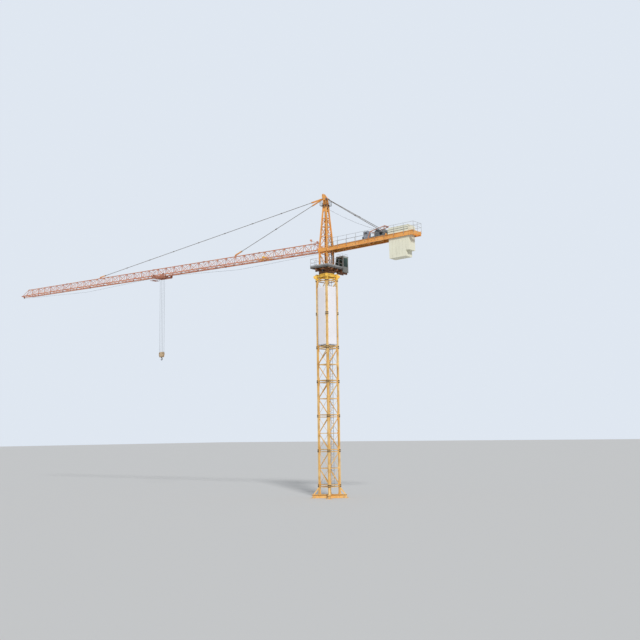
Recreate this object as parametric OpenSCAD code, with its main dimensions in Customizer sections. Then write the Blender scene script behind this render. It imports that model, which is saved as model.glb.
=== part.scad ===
// Top-slewing tower crane with a saddle jib, as a 1:2 scale model of the real machine.
// All lengths are in millimetres of the model, so a real length is twice the value given here.
// The origin is at ground level on the mast's axis. The jib points along -X and the counter-jib along +X.

/* [Base] */
// Depth of the crossed beams that the mast stands on
base_h = 220; // [200:10:260]
// Reach of each crossed beam from the mast's axis
base_reach = 1000; // [960:10:1100]
// Width of the crossed beams' flanges
base_flange_w = 180; // [160:5:200]
// Thickness of the foot plates and of the crossed beams' flanges
foot_t = 24; // [20:2:30]
// Width of each square foot plate
foot_w = 340; // [320:10:380]
// Distance from the end of a beam back to the middle of its foot plate
foot_back = 90; // [80:5:120]
// Diameter of the circle of anchor bolts in a foot plate
foot_pcd = 250; // [230:5:270]
// Diameter of each anchor bolt hole
bolt_hole_d = 36; // [30:2:40]
// Height of the leg stubs on the crossed beams
stub_h = 480; // [440:10:520]

/* [Mast] */
// Outer width of the square mast
mast_w = 920; // [860:10:980]
// Width of each corner leg of the mast
leg_w = 100; // [84:4:120]
// Height of one mast section
section_h = 2000; // [1900:25:2100]
// Bays of bracing in one mast section
mast_bays = 2; // [1:1:3]
// Thickness of the mast's horizontal and diagonal bars
brace_w = 42; // [34:2:50]
// Extra width of the joint sleeves at the ends of each leg
sleeve_extra = 28; // [20:2:36]
// Height of each joint sleeve
sleeve_h = 90; // [70:5:120]
// Angle of the mast about its axis, away from the jib
mast_turn = -9; // [-20:0.5:20]
// Distance from the top of the mast sections down to the banners
banner_drop = 420; // [400:5:500]
// Height of each banner
banner_h = 3440; // [3000:20:3460]
// Thickness of a banner with its backing board
banner_t = 8; // [6:1:12]
// Distance of the climbing ladder from the mast's axis
ladder_at = 300; // [280:5:310]
// Width of the climbing ladders
ladder_w = 190; // [170:5:210]
// Spacing of the ladders' rungs
rung_pitch = 150; // [130:5:170]
// Thickness of the platforms' plates
plate_t = 14; // [10:1:20]

/* [Slewing gear] */
// Height of the flared support between the mast and the slewing ring
support_h = 360; // [320:10:400]
// Outer width of the support across its corner brackets
support_w = 1110; // [1060:10:1160]
// Outer diameter of the slewing ring
ring_d = 900; // [860:10:940]
// Radial width of the slewing ring
ring_wall = 80; // [70:5:90]
// Height of the ring's fixed half and of its turning half
ring_h = 40; // [34:2:50]
// Running gap between the two halves of the ring
ring_gap = 0.4; // [0.3:0.1:1]
// Height of the turntable above the ring
turntable_h = 250; // [230:5:280]
// Diameter of the slewing motors
motor_d = 104; // [90:2:120]

/* [Deck] */
// Reach of the deck ahead of and behind the mast's axis
deck_reach = 650; // [630:10:700]
// Reach of the deck on the side away from the cab
deck_near = 750; // [700:10:800]
// Reach of the deck on the side of the cab
deck_far = 1300; // [1280:10:1350]
// Height of the joists under the deck
joist_h = 60; // [50:5:80]
// Thickness of the deck's grating
deck_t = 40; // [30:2:50]
// Height of the railings
rail_h = 480; // [430:10:520]
// Diameter of the railing tubes
rail_d = 20; // [16:1:24]

/* [Cab] */
// Length of the cab, along the jib
cab_l = 600; // [560:10:640]
// Width of the cab
cab_w = 520; // [480:10:540]
// Height of the cab
cab_h = 960; // [900:10:1020]
// Depth of the cab's floor under the deck's surface
cab_drop = 240; // [230:5:260]
// Wall thickness of the cab
cab_wall = 18; // [14:1:24]
// Thickness of the cab's window panes
glass_t = 6; // [4:1:8]

/* [Turning column and tower head] */
// Outer width of the square column above the turntable
column_w = 660; // [640:10:700]
// Width of the column's legs
column_leg = 84; // [74:2:92]
// Height of the column
column_h = 1000; // [950:10:1050]
// Thickness of the bars of the column and of the tower head
head_bar = 34; // [28:2:40]
// Height of the frame that joins the column, the jib and the counter-jib
root_h = 300; // [290:5:330]
// Width of the tower head's legs
head_leg_w = 76; // [66:2:84]
// Height of the tapering tower head
head_h = 2890; // [2820:10:2960]
// Width of the tower head at its top, between the centres of its legs
head_top_w = 150; // [136:2:170]
// Height of the forward-leaning horn on the tower head
horn_h = 430; // [400:10:460]

/* [Jib] */
// Length of one jib section
jib_section_l = 5000; // [4800:50:5200]
// Bays of lattice in one jib section
jib_bays = 6; // [5:1:7]
// Distance between the centres of the two bottom chords
jib_w = 620; // [600:10:640]
// Height of the top chord's centre over the bottom chords' centres
jib_h = 490; // [450:10:530]
// Width of the square bottom chords
chord_w = 56; // [48:2:64]
// Diameter of the round top chord
top_chord_d = 60; // [50:2:70]
// Diameter of the lattice tubes
lace_d = 30; // [24:1:34]
// Angle by which the jib rises towards its tip
jib_rise = 0.9; // [0:0.1:2]
// Length of the tapering tip frame
tip_l = 700; // [650:10:750]
// Distance from the jib's foot to where the inner tie meets the top chord
tie_inner_s = 7060; // [6900:10:7200]
// Distance from the jib's foot to where the outer tie meets the top chord
tie_outer_s = 20900; // [20700:10:21100]
// Diameter of the round tie bars
tie_d = 34; // [28:1:40]
// Diameter of the pins that join the ties
tie_pin_d = 30; // [26:1:34]

/* [Counter-jib] */
// Length of the counter-jib from the column's face
counter_l = 6050; // [5950:10:6300]
// Outer width of the counter-jib over its two girders
counter_w = 800; // [780:10:830]
// Depth of the counter-jib's girders
girder_h = 250; // [230:5:270]
// Width of the girders' flanges
flange_w = 72; // [60:2:80]
// Angle by which the counter-jib rises towards its end
counter_rise = 1.1; // [0:0.1:2]
// Distance from the feet of the counter-jib's ties to the counterweights
tie_gap = 138; // [120:2:160]
// Number of full-length counterweight slabs
slab_count = 5; // [3:1:5]
// Thickness of each counterweight slab
slab_t = 216; // [200:2:220]
// Gap between two neighbouring slabs
slab_gap = 6; // [4:1:8]
// Height of the long slabs, from their foot to the girders' top
slab_drop = 1370; // [1300:10:1420]
// Height of the slabs' tops above the girders
slab_shoulder = 380; // [340:10:400]

/* [Hoisting winch] */
// Distance from the winch drum's axle to the counterweights
drum_gap = 828; // [800:4:900]
// Height of the drum's axle over the girders
drum_up = 290; // [270:10:310]
// Radius of the drum
drum_r = 140; // [120:5:150]
// Length of the drum between its flanges
drum_l = 400; // [360:10:420]

/* [Trolley, ropes and hook] */
// Distance from the jib's foot to the trolley's middle, at rest
trolley_s = 14060; // [13800:10:14400]
// Length of the trolley frame
trolley_l = 1240; // [1180:10:1300]
// Radius of the trolley's running wheels
wheel_r = 46; // [40:1:52]
// Diameter of the hoisting rope
rope_d = 11; // [9:0.5:14]
// Radius of the rope's centre round the sheaves of the hook block and the trolley
sheave_r = 75; // [68:1:80]
// Distance between the two sheaves of the hook block
block_pitch = 300; // [284:2:320]
// Height of the hook block's sheaves above the ground, at rest
block_z = 9340; // [9200:10:9600]
// Radius of the bend of the hook
hook_r = 66; // [60:1:74]
// Thickness of the hook's round bar
hook_d = 46; // [40:1:52]

/* [Hidden] */
// Gap left where one piece is welded or seated on another of its own body
seat = 0.3;
// Gap between a piece that turns or slides and what it runs on
run = 0.5;
// Clearance of moving pieces from others that they pass
pass = 6;
sections = 6;
jib_sections = 6;
// Distance of a section's outermost joints from its ends
mast_inset = 60;
jib_inset = 70;

base_top = base_h + stub_h;
mast_top = base_top + sections * section_h;
banner_up = sections * section_h - banner_drop - banner_h;
ring_z = mast_top + support_h;
turntable_z = ring_z + 2 * ring_h + ring_gap;
column_z = turntable_z + turntable_h;
deck_z = column_z + seat;
deck_top = deck_z + joist_h + deck_t;
root_z = column_z + column_h;
head_z = root_z + root_h;
head_top = head_z + head_h;
jib_z = root_z + 170;
jib_foot = column_w / 2 + 70;
jib_l = jib_sections * jib_section_l;
jib_pitch = (jib_section_l - 2 * jib_inset) / jib_bays;
girder_y = counter_w / 2 - flange_w / 2;
girder_top = root_z + root_h - 50;
column_leg_at = column_w / 2 - column_leg / 2;
mast_leg_at = mast_w / 2 - leg_w / 2;
head_leg_at = head_top_w / 2;
rope_r = rope_d / 2;
falls = [-block_pitch / 2 - sheave_r, -block_pitch / 2 + sheave_r,
         block_pitch / 2 - sheave_r, block_pitch / 2 + sheave_r];

// Direction helpers
function unit(v) = v / norm(v);
function mix(a, b, t) = a + (b - a) * t;

// A rectangular bar from p to q: w is its width in the vertical plane that holds it, d is across that plane
module bar(p, q, w, d) {
    v = q - p;
    translate(p)
        rotate([0, acos(v.z / norm(v)), atan2(v.y, v.x)])
            translate([-w / 2, -d / 2, 0]) cube([w, d, norm(v)]);
}

// A tube of few sides from p to q
module tube(p, q, d, sides = 8) {
    v = q - p;
    translate(p)
        rotate([0, acos(v.z / norm(v)), atan2(v.y, v.x)])
            cylinder(d = d, h = norm(v), $fn = sides);
}

// A true cylinder across Y, centred on the point given
module cross_pin(p, d, l, sides = 32)
    translate(p) rotate([90, 0, 0]) cylinder(d = d, h = l, center = true, $fn = sides);

// A plate across Y, t thick and centred on y, with the outline given in X and Z
module side_plate(y, t, outline)
    translate([0, y + t / 2, 0]) rotate([90, 0, 0]) linear_extrude(t) polygon(outline);

// One ring of points round a rope whose line lies in a plane across Y
function rope_ring(points, i, r, sides) =
    let (a = points[max(i - 1, 0)], b = points[min(i + 1, len(points) - 1)], t = unit(b - a), n = [t.z,
        0, -t.x])
    [for (k = [0:sides - 1]) points[i] + r * cos(360 * k / sides) * n + [0, r * sin(360 * k / sides), 0]];

// A rope swept along points that lie in a plane across Y
module rope(points, d, sides = 8) {
    n = len(points);
    rings = [for (i = [0:n - 1]) each rope_ring(points, i, d / 2, sides)];
    walls = [for (i = [0:n - 2], k = [0:sides - 1])
        [i * sides + k, i * sides + (k + 1) % sides, (i + 1) * sides + (k + 1) % sides,
            (i + 1) * sides + k]];
    first = [for (k = [sides - 1:-1:0]) k];
    last = [for (k = [0:sides - 1]) (n - 1) * sides + k];
    polyhedron(points = rings, faces = concat([first, last], walls));
}

// A line of points from p to q that sags by the given depth at its middle
function hanging(p, q, sag, steps) =
    [for (i = [0:steps]) let (t = i / steps) mix(p, q, t) - [0, 0, 4 * sag * t * (1 - t)]];

// A grooved sheave that turns about Y. The rope's centre runs at radius r.
module sheave(r, width, hub_r, hub_l) {
    floor_r = r - rope_r - run;
    rim_r = r + rope_d;
    rotate([90, 0, 0]) {
        rotate_extrude($fn = 48)
            polygon([[0, -width / 2], [rim_r, -width / 2], [rim_r, -width / 2 + 4], [floor_r, -rope_r - 1],
                     [floor_r, rope_r + 1], [rim_r, width / 2 - 4], [rim_r, width / 2], [0, width / 2]]);
        cylinder(r = hub_r, h = hub_l, center = true, $fn = 32);
    }
}

// An I-section beam along +X, centred on Y, standing on z = 0
module i_beam(length, h, flange, flange_t, web_t)
    rotate([90, 0, 90]) linear_extrude(length)
        polygon([[-flange / 2, 0], [flange / 2, 0], [flange / 2, flange_t], [web_t / 2, flange_t],
                 [web_t / 2, h - flange_t], [flange / 2, h - flange_t], [flange / 2, h], [-flange / 2, h],
                 [-flange / 2, h - flange_t], [-web_t / 2, h - flange_t], [-web_t / 2, flange_t],
                 [-flange / 2, flange_t]]);

// A railing along a straight run from p to q, with evenly spaced posts
module railing(p, q, pitch, h = rail_h, first = true, last = true, foot = 0) {
    n = max(1, round(norm(q - p) / pitch));
    for (i = [first ? 0 : 1:last ? n : n - 1])
        tube(mix(p, q, i / n) - [0, 0, foot], mix(p, q, i / n) + [0, 0, h], rail_d);
    for (level = [0.5, 0.98])
        tube(p + [0, 0, h * level], q + [0, 0, h * level], rail_d * 0.8);
}

stile = [26, 14];

// A ladder that rises along Z, with rungs across Y
module ladder(height) {
    for (side = [-1, 1])
        translate([-stile.x / 2, side * ladder_w / 2 - stile.y / 2, 0]) cube([stile.x, stile.y, height]);
    for (z = [rung_pitch / 2:rung_pitch:height - rung_pitch / 4])
        translate([0, 0, z]) rotate([90, 0, 0]) cylinder(d = 16, h = ladder_w, center = true, $fn = 8);
}

/* Square lattice towers */

// The bars of one side, in the plane across Y: horizontals, a diagonal a bay and a gusset at each joint
module side_bars(at, leg, z0, z1, bays, w) {
    pitch = (z1 - z0) / bays;
    gusset = [leg / 2 + w * 1.7, w / 3, w * 3.2];
    for (i = [0:bays]) {
        z = z0 + i * pitch;
        gusset_z = max(z0 - w / 2, min(z1 + w / 2 - gusset.z, z - gusset.z / 2));
        bar([-at, 0, z], [at, 0, z], w, w);
        for (x = [-at, at - gusset.x]) translate([x, -gusset.y / 2, gusset_z]) cube(gusset);
    }
    for (i = [0:bays - 1]) {
        flip = i % 2 == 0 ? 1 : -1;
        bar([flip * at, 0, z0 + i * pitch], [-flip * at, 0, z0 + (i + 1) * pitch], w * 0.85, w * 0.85);
    }
}

module tower_leg(x, y, w, z0, z1, extra, joint_h, grow = 0) {
    translate([x - w / 2 - grow, y - w / 2 - grow, z0]) cube([w + 2 * grow, w + 2 * grow, z1 - z0]);
    s = w + extra + 2 * grow;
    for (z = [z0, z1 - joint_h])
        translate([x - s / 2, y - s / 2, z]) cube([s, s, joint_h]);
}

// One section of a square tower: two sides carry the legs, and the two others are seated between them
module tower_section(at, w, z0, z1, bays, bar_w, extra, joint_h, inset)
    for (side = [-1, 1]) {
        for (x = [-1, 1]) tower_leg(x * at, side * at, w, z0, z1, extra, joint_h);
        translate([0, side * at, 0]) side_bars(at, w, z0 + inset, z1 - inset, bays, bar_w);
        difference() {
            rotate([0, 0, 90]) translate([0, side * at, 0]) side_bars(at, w, z0 + inset, z1 - inset,
                bays, bar_w);
            for (x = [-1, 1], y = [-1, 1]) tower_leg(x * at, y * at, w, z0, z1, extra, joint_h, seat);
        }
    }

/* Base and mast */
foot_at = base_reach - foot_back;
stiffener_t = 16;
knee_w = 64;

module base_cross() color("goldenrod") rotate([0, 0, mast_turn]) difference() {
    leg_reach = mast_leg_at * sqrt(2);
    brace_z = base_top - mast_inset;
    union() {
        for (a = [45, 135]) rotate([0, 0, a])
            translate([-base_reach, 0, 0]) i_beam(2 * base_reach, base_h, base_flange_w, foot_t, 18);
        for (a = [45:90:315]) rotate([0, 0, a]) {
            translate([foot_at - foot_w / 2, -foot_w / 2, 0]) cube([foot_w, foot_w, foot_t]);
            for (x = [foot_at, leg_reach])
                translate([x - stiffener_t / 2, -base_flange_w / 2 + 2, foot_t - 1])
                    cube([stiffener_t, base_flange_w - 4, base_h - 2 * foot_t + 2]);
            // Knee brace from the beam up to the leg stub
            bar([foot_at, 0, base_h - foot_t / 2], [leg_reach, 0, brace_z], knee_w, knee_w);
        }
        for (x = [-1, 1], y = [-1, 1])
            tower_leg(x * mast_leg_at, y * mast_leg_at, leg_w, base_h - foot_t / 2, base_top - seat,
                sleeve_extra, sleeve_h);
        for (a = [0:90:270]) rotate([0, 0, a])
            bar([-mast_leg_at, -mast_leg_at, brace_z], [mast_leg_at, -mast_leg_at, brace_z], brace_w,
                brace_w);
    }
    for (a = [45:90:315]) rotate([0, 0, a])
        for (b = [45:90:315])
            translate([foot_at, 0, -1]) rotate([0, 0, b])
                translate([foot_pcd / 2, 0, 0]) cylinder(d = bolt_hole_d, h = foot_t + 2, $fn = 32);
}

module mast_section(k) color("goldenrod") rotate([0, 0, mast_turn])
    tower_section(mast_leg_at, leg_w, base_top + k * section_h, base_top + (k + 1) * section_h - seat,
                  mast_bays, brace_w, sleeve_extra, sleeve_h, mast_inset);

// The climbing ladder, and rest platforms whose hatches it rises through
module mast_access() color("silver") rotate([0, 0, mast_turn]) {
    half = mast_leg_at - brace_w / 2 + 13;
    notch = leg_w / 2 + sleeve_extra / 2 + brace_w / 2;
    hatch = [230, ladder_w + 70];
    translate([ladder_at, 0, base_top - 100]) ladder(sections * section_h + 100);
    for (k = [0:sections - 1])
        translate([0, 0, base_top + k * section_h + mast_inset + brace_w / 2 + seat]) difference() {
            translate([-half, -half, 0]) cube([2 * half, 2 * half, plate_t]);
            for (x = [-1, 1], y = [-1, 1])
                translate([x * mast_leg_at - notch, y * mast_leg_at - notch, -1]) cube([2 * notch,
                    2 * notch, plate_t + 2]);
            translate([ladder_at - 10 - hatch.x, -hatch.y / 2, -1]) cube([hatch.x, hatch.y, plate_t + 2]);
        }
}

// White banners on boards, one on each side of the mast between its legs
module mast_banners() color("white") rotate([0, 0, mast_turn])
    for (a = [0:90:270]) rotate([0, 0, a]) {
        half = mast_leg_at - leg_w / 2 - sleeve_extra / 2 - seat;
        translate([-half, -mast_leg_at - brace_w / 2 - seat - banner_t, base_top + banner_up])
            cube([2 * half, banner_t, banner_h]);
    }

/* Slewing gear */
ring_bore = ring_d - 2 * ring_wall;

// A stout frame on the mast's legs, with flared corner brackets that widen to carry the ring
module slewing_support() color("gold") rotate([0, 0, mast_turn]) difference() {
    flare = (support_w - 2 * mast_leg_at) / sqrt(2);
    foot = leg_w + sleeve_extra;
    union() {
        for (x = [-1, 1], y = [-1, 1]) {
            translate([x * mast_leg_at - foot / 2, y * mast_leg_at - foot / 2, mast_top]) cube([foot,
                foot, support_h]);
            translate([x * mast_leg_at, y * mast_leg_at, 0]) rotate([0, 0, atan2(y, x)])
                side_plate(0, 110, [[0, mast_top + 70], [flare * 0.8, mast_top + 130], [flare,
                    mast_top + 180],
                                    [flare, mast_top + 270], [0, ring_z - 20]]);
        }
        for (a = [0:90:270]) rotate([0, 0, a]) {
            translate([-mast_leg_at, -mast_leg_at - 40, mast_top + 160]) cube([2 * mast_leg_at, 80, 160]);
            translate([-mast_leg_at, -mast_leg_at - 26, mast_top + 40]) cube([2 * mast_leg_at, 52, 48]);
        }
        translate([0, 0, ring_z - 45]) cylinder(d = ring_d + 50, h = 45, $fn = 96);
        for (a = [45:90:315]) rotate([0, 0, a])
            translate([ring_bore / 2, -50, ring_z - 120]) cube([mast_leg_at * sqrt(2) - ring_bore / 2,
                100, 100]);
    }
    translate([0, 0, ring_z - 150]) cylinder(d = ring_bore, h = 151, $fn = 96);
}

module slewing_ring() color("dimgray") difference() {
    translate([0, 0, ring_z + seat]) cylinder(d = ring_d, h = ring_h - seat, $fn = 96);
    translate([0, 0, ring_z - 1]) cylinder(d = ring_bore, h = ring_h + 2, $fn = 96);
}

cab_x = deck_reach - cab_l;
cab_y = deck_far - cab_w;
cab_z = deck_top - cab_drop;
beam_w = 72;
outrigger_x = column_w / 2 - 60;
motor_at = column_w / 2 + motor_d / 2 + 14;

// The turning frame: ring flange, base plate, a box under the column, and beams for the deck and the cab
module turntable() color("darkorange") difference() {
    outer_x = cab_x + cab_l - 2 * beam_w;
    beam_y = cab_y - 20 - beam_w;
    union() {
        translate([0, 0, turntable_z - ring_h]) cylinder(d = ring_d - 30, h = ring_h + 5, $fn = 96);
        translate([0, 0, turntable_z]) cylinder(d = ring_d + 40, h = 36, $fn = 96);
        translate([-column_w / 2, -column_w / 2, turntable_z + 30]) cube([column_w, column_w,
            turntable_h - 30]);
        for (y = [-1, 1])
            translate([-deck_reach + 30, y * outrigger_x - beam_w / 2,
                column_z - 120]) cube([2 * deck_reach - 60, beam_w, 120]);
        for (x = [-1, 1])
            translate([x * outrigger_x - beam_w / 2, -deck_near + 40, column_z - 120])
                cube([beam_w, deck_near - 40 + beam_y + beam_w, 120]);
        // Cab beams, lowered under the cab's floor, and the cross beam that joins them
        translate([outrigger_x, beam_y, column_z - 120]) cube([outer_x + beam_w - outrigger_x, beam_w, 120]);
        for (x = [outrigger_x - beam_w / 2, outer_x]) {
            translate([x, beam_y, cab_z - seat - 100]) cube([beam_w, cab_w + beam_w, 100]);
            translate([x, beam_y, cab_z - seat - 100]) cube([beam_w, beam_w, column_z - cab_z + seat + 100]);
        }
    }
    translate([0, 0, turntable_z - ring_h - 1]) cylinder(d = ring_bore - 30, h = ring_h + 30, $fn = 96);
    hollow = column_w - 2 * column_leg - 40;
    translate([-hollow / 2, -hollow / 2, turntable_z - 1]) cube([hollow, hollow, turntable_h + 2]);
}

// Two geared slewing motors that stand on the turntable's plate, clear of its box
module slewing_motors() color("slategray")
    for (side = [-1, 1]) translate([-side * 20, side * motor_at, turntable_z + 36 + seat]) {
        cylinder(d = motor_d, h = 60, $fn = 32);
        cylinder(d = motor_d * 0.8, h = 230, $fn = 32);
    }

// The deck's grating on joists, cut away where the column, the motors and the cab pass
module deck() color("gray") difference() {
    joist_w = 50;
    joists = 5;
    depth = joist_h + deck_t + 2;
    union() {
        translate([-deck_reach, -deck_near, deck_z + joist_h - 1]) cube([2 * deck_reach,
            deck_near + deck_far, deck_t + 1]);
        for (i = [0:joists - 1])
            translate([-deck_reach + i * (2 * deck_reach - joist_w) / (joists - 1), -deck_near, deck_z])
                cube([joist_w, deck_near + deck_far, joist_h]);
        for (y = [-deck_near, deck_far - 30])
            translate([-deck_reach, y, deck_z]) cube([2 * deck_reach, 30, joist_h]);
    }
    translate([-column_w / 2 - 20, -column_w / 2 - 20, deck_z - 1]) cube([column_w + 40, column_w + 40,
        depth]);
    translate([cab_x - 10, cab_y - 10, deck_z - 1]) cube([cab_l + 100, cab_w + 100, depth]);
    for (side = [-1, 1])
        translate([-side * 20, side * motor_at, deck_z - 1]) cylinder(d = motor_d + 30, h = depth, $fn = 32);
}

module deck_railing() color("lightgray") {
    z = deck_top + seat;
    edge = rail_d / 2 + 6;
    near = -deck_near + edge;
    far = deck_far - edge;
    side = deck_reach - edge;
    railing([-side, near, z], [side, near, z], 420);
    railing([side, near, z], [side, cab_y - 40, z], 380, first = false);
    railing([-side, near, z], [-side, far, z], 410, first = false);
    railing([-side, far, z], [cab_x - 40, far, z], 300, first = false);
}

/* Cab */
post_w = 50;
sill = 0.36;

// Side profile of the cab, shrunk by the given depth: its front leans out up to the sill and back above it
module cab_profile(in)
    polygon([[cab_l - in, in], [cab_l - in, cab_h - in], [90 + in, cab_h - in], [in, cab_h * 0.45],
        [70 + in, in]]);

// The two openings of a side window, as outlines in X and Z
function side_windows() = [
    [[140, cab_h - 70], [post_w + 10, cab_h * 0.47], [post_w + 50, cab_h * sill], [cab_l / 2 - 10,
        cab_h * sill],
     [cab_l / 2 - 10, cab_h - 70]],
    [[cab_l / 2 + 30, cab_h * sill], [cab_l - post_w, cab_h * sill], [cab_l - post_w, cab_h - 70],
     [cab_l / 2 + 30, cab_h - 70]]];

// Heights of the front's upper and lower panes
front_bands = [[cab_h * 0.5, cab_h - 70], [90, cab_h * 0.42]];

module cab_body() color("slategray") translate([cab_x, cab_y, cab_z]) difference() {
    union() {
        translate([0, cab_w, 0]) rotate([90, 0, 0]) linear_extrude(cab_w) cab_profile(0);
        translate([70, -12, cab_h]) cube([cab_l - 60, cab_w + 24, 24]);
    }
    translate([0, cab_w - cab_wall, 0]) rotate([90, 0, 0]) linear_extrude(cab_w - 2 * cab_wall)
        cab_profile(cab_wall);
    for (y = [cab_wall / 2, cab_w - cab_wall / 2], window = side_windows()) side_plate(y, cab_wall + 2,
        window);
    translate([cab_l - cab_wall - 1, post_w, cab_h * sill])
        cube([cab_wall + 2, cab_w - 2 * post_w, cab_h * (1 - sill) - 70]);
    for (band = front_bands) translate([-40, post_w, band[0]]) cube([170, cab_w - 2 * post_w,
        band[1] - band[0]]);
}

// Panes seated in the cab's window openings
module cab_windows() color([0.3, 0.4, 0.38, 0.5]) translate([cab_x, cab_y, cab_z]) {
    m = (cab_wall - glass_t) / 2;
    pane_w = cab_w - 2 * post_w - 2 * seat;
    for (y = [cab_wall / 2, cab_w - cab_wall / 2], window = side_windows())
        translate([0, y + glass_t / 2, 0]) rotate([90, 0, 0]) linear_extrude(glass_t)
            offset(delta = -seat) polygon(window);
    translate([cab_l - cab_wall + m, post_w + seat, cab_h * sill + seat])
        cube([glass_t, pane_w, cab_h * (1 - sill) - 70 - 2 * seat]);
    // The front panes lie in the leaning front, so they are cut from a thin copy of its profile
    for (band = front_bands)
        intersection() {
            translate([0, cab_w - post_w - seat, 0]) rotate([90, 0, 0]) linear_extrude(pane_w)
                difference() {
                    cab_profile(m);
                    cab_profile(m + glass_t);
                }
            translate([-40, 0, band[0] + seat]) cube([150, cab_w, band[1] - band[0] - 2 * seat]);
        }
}

/* Column, root frame and tower head */
module column() color("orange")
    tower_section(column_leg_at, column_leg, column_z + seat, root_z - seat, 1, head_bar, 16, 50, 50);

ear_t = 16;
ear_gap = 40;
pin_d = 40;
root_plate_out = 8;
hanger_y = 41;
hanger_t = 12;
head_sheave_r = 92;
guide_sheave_r = 50;
root_sheave = [-head_sheave_r - guide_sheave_r, 0, root_z + 50];

// The frame that joins the column, the tower head, the jib's foot and the counter-jib
module root_frame() color("darkorange") {
    beam_h = root_h - 60;
    for (x = [-1, 1], y = [-1, 1])
        translate([x * column_leg_at - column_leg / 2, y * column_leg_at - column_leg / 2, root_z])
            cube([column_leg, column_leg, root_h]);
    for (side = [-1, 1]) {
        translate([-column_leg_at, side * column_leg_at - 28, root_z + 30]) cube([2 * column_leg_at, 56,
            beam_h]);
        translate([side * column_leg_at - 28, -column_leg_at, root_z + 30]) cube([56, 2 * column_leg_at,
            beam_h]);
        // Clevis ears and pins at the jib's foot
        for (y = [-1, 1])
            translate([-jib_foot - 46, side * jib_w / 2 + y * (ear_gap + ear_t) / 2 - ear_t / 2, jib_z - 46])
                cube([jib_foot - column_w / 2 + 52, ear_t, 92]);
        cross_pin([-jib_foot, side * jib_w / 2, jib_z], pin_d, ear_gap + 2 * ear_t + 16);
        // Hanger of the rope's guide sheave, behind the front beam
        translate([-column_leg_at + 20, side * hanger_y - hanger_t / 2, root_z + 30])
            cube([column_leg_at - 120, hanger_t, 60]);
    }
    // Plates that the jib's ears and the counter-jib's girders are welded to
    translate([-column_w / 2 - 20, -jib_w / 2 - 60, root_z + 40]) cube([28, jib_w + 120, beam_h - 30]);
    translate([column_w / 2 - 8, -counter_w / 2, root_z + 40])
        cube([8 + root_plate_out, counter_w, beam_h - 30]);
}

// Half the distance between the centres of the tower head's legs, at a share t of its height
function head_half(t) = mix(column_leg_at, head_leg_at, t);
function head_corner(x, y, t) = [head_half(t) * x, head_half(t) * y, head_z + head_h * t];

head_slope = (column_leg_at - head_leg_at) / head_h;

// Levels of the tower head's horizontals, as shares of its height
head_levels = [0.02, 0.24, 0.44, 0.62, 0.78, 0.92];

module head_leg(x, y) {
    n = sqrt(1 + 2 * head_slope * head_slope);
    translate(head_corner(x, y, 0)) rotate([asin(y * head_slope / n), -atan(x * head_slope), 0])
        translate([-head_leg_w / 2, -head_leg_w / 2, -60]) cube([head_leg_w, head_leg_w, head_h * n + 120]);
}

module tower_head() color("orange") intersection() {
    union() {
        for (x = [-1, 1], y = [-1, 1]) head_leg(x, y);
        for (a = [0:90:270]) rotate([0, 0, a]) {
            for (t = head_levels) bar(head_corner(-1, -1, t), head_corner(1, -1, t), head_bar, head_bar);
            for (i = [0:2]) {
                flip = i % 2 == 0 ? 1 : -1;
                bar(head_corner(flip, -1, head_levels[i]), head_corner(-flip, -1, head_levels[i + 1]),
                    head_bar * 0.85, head_bar * 0.85);
            }
        }
        // Plates on the sides that hold the rope sheave's axle
        for (side = [-1, 1])
            side_plate(side * head_half(0.8), 20,
                       [for (p = [[-1, 0.76], [1, 0.76], [1, 0.86], [-1, 0.86]])
                           [p.x * head_half(p.y), head_z + head_h * p.y]]);
    }
    translate([-column_w, -column_w, head_z + seat]) cube([2 * column_w, 2 * column_w, head_h - 2 * seat]);
}

cheek_y = 70;
cheek_t = 18;
apex_pin_d = 44;
front_pin = [-150, 0, head_top + 150];
rear_pin = [90, 0, head_top + 100];
horn_sheave = [-170, 0, head_top + horn_h - 70];
horn_axle_r = 14;
tie_block = tie_d - 4;

// The apex: two cheek plates on the head's top that lean forward into a horn, and hold the pins of the ties
module head_apex() color("darkorange") difference() {
    z = head_top;
    union() {
        translate([-130, -130, z]) cube([260, 260, 36]);
        for (side = [-1, 1])
            side_plate(side * cheek_y, cheek_t,
                       [[-130, z + 20], [130, z + 20], [140, z + 120], [60, z + 200], [-110, z + horn_h],
                        [-200, z + horn_h], [-230, z + horn_h - 60], [-205, z + 120]]);
        translate([20, -cheek_y, z + 30]) cube([30, 2 * cheek_y, 60]);
        cross_pin(front_pin, apex_pin_d, 2 * cheek_y + cheek_t + 20);
        cross_pin(rear_pin, apex_pin_d, 2 * cheek_y + cheek_t + 84);
    }
    cross_pin(horn_sheave, 2 * (horn_axle_r + seat), 2 * cheek_y + 60);
    // Notches in the top plate that the counter-jib's ties pass through
    for (side = [0, 1]) mirror([0, side, 0])
        translate([60, cheek_y + cheek_t / 2 + 0.5, z - 1]) cube([100, 130, 60]);
}

head_sheave = [0, 0, head_z + head_h * 0.81];
sheave_w = 34;
// Height of the tip's guide sheave relative to the line of the bottom chords
guide_h = -84;
tip_sheave_s = jib_l + tip_l - 70;
hub_l = 2 * hanger_y - hanger_t - 2 * seat;

// The rope's sheaves in the head, in its horn, under it and at the jib's tip
module rope_sheaves() color("dimgray") {
    translate(head_sheave) sheave(head_sheave_r, sheave_w, 16, 2 * head_half(0.8) - 20 - 2 * seat);
    translate(horn_sheave) sheave(guide_sheave_r, sheave_w, horn_axle_r, 2 * cheek_y + 30);
    translate(root_sheave) sheave(guide_sheave_r, sheave_w, 14, hub_l);
    translate(jib_point(tip_sheave_s, guide_h)) sheave(guide_sheave_r, sheave_w, 14, hub_l);
}

platform_t = 0.885;

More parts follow.
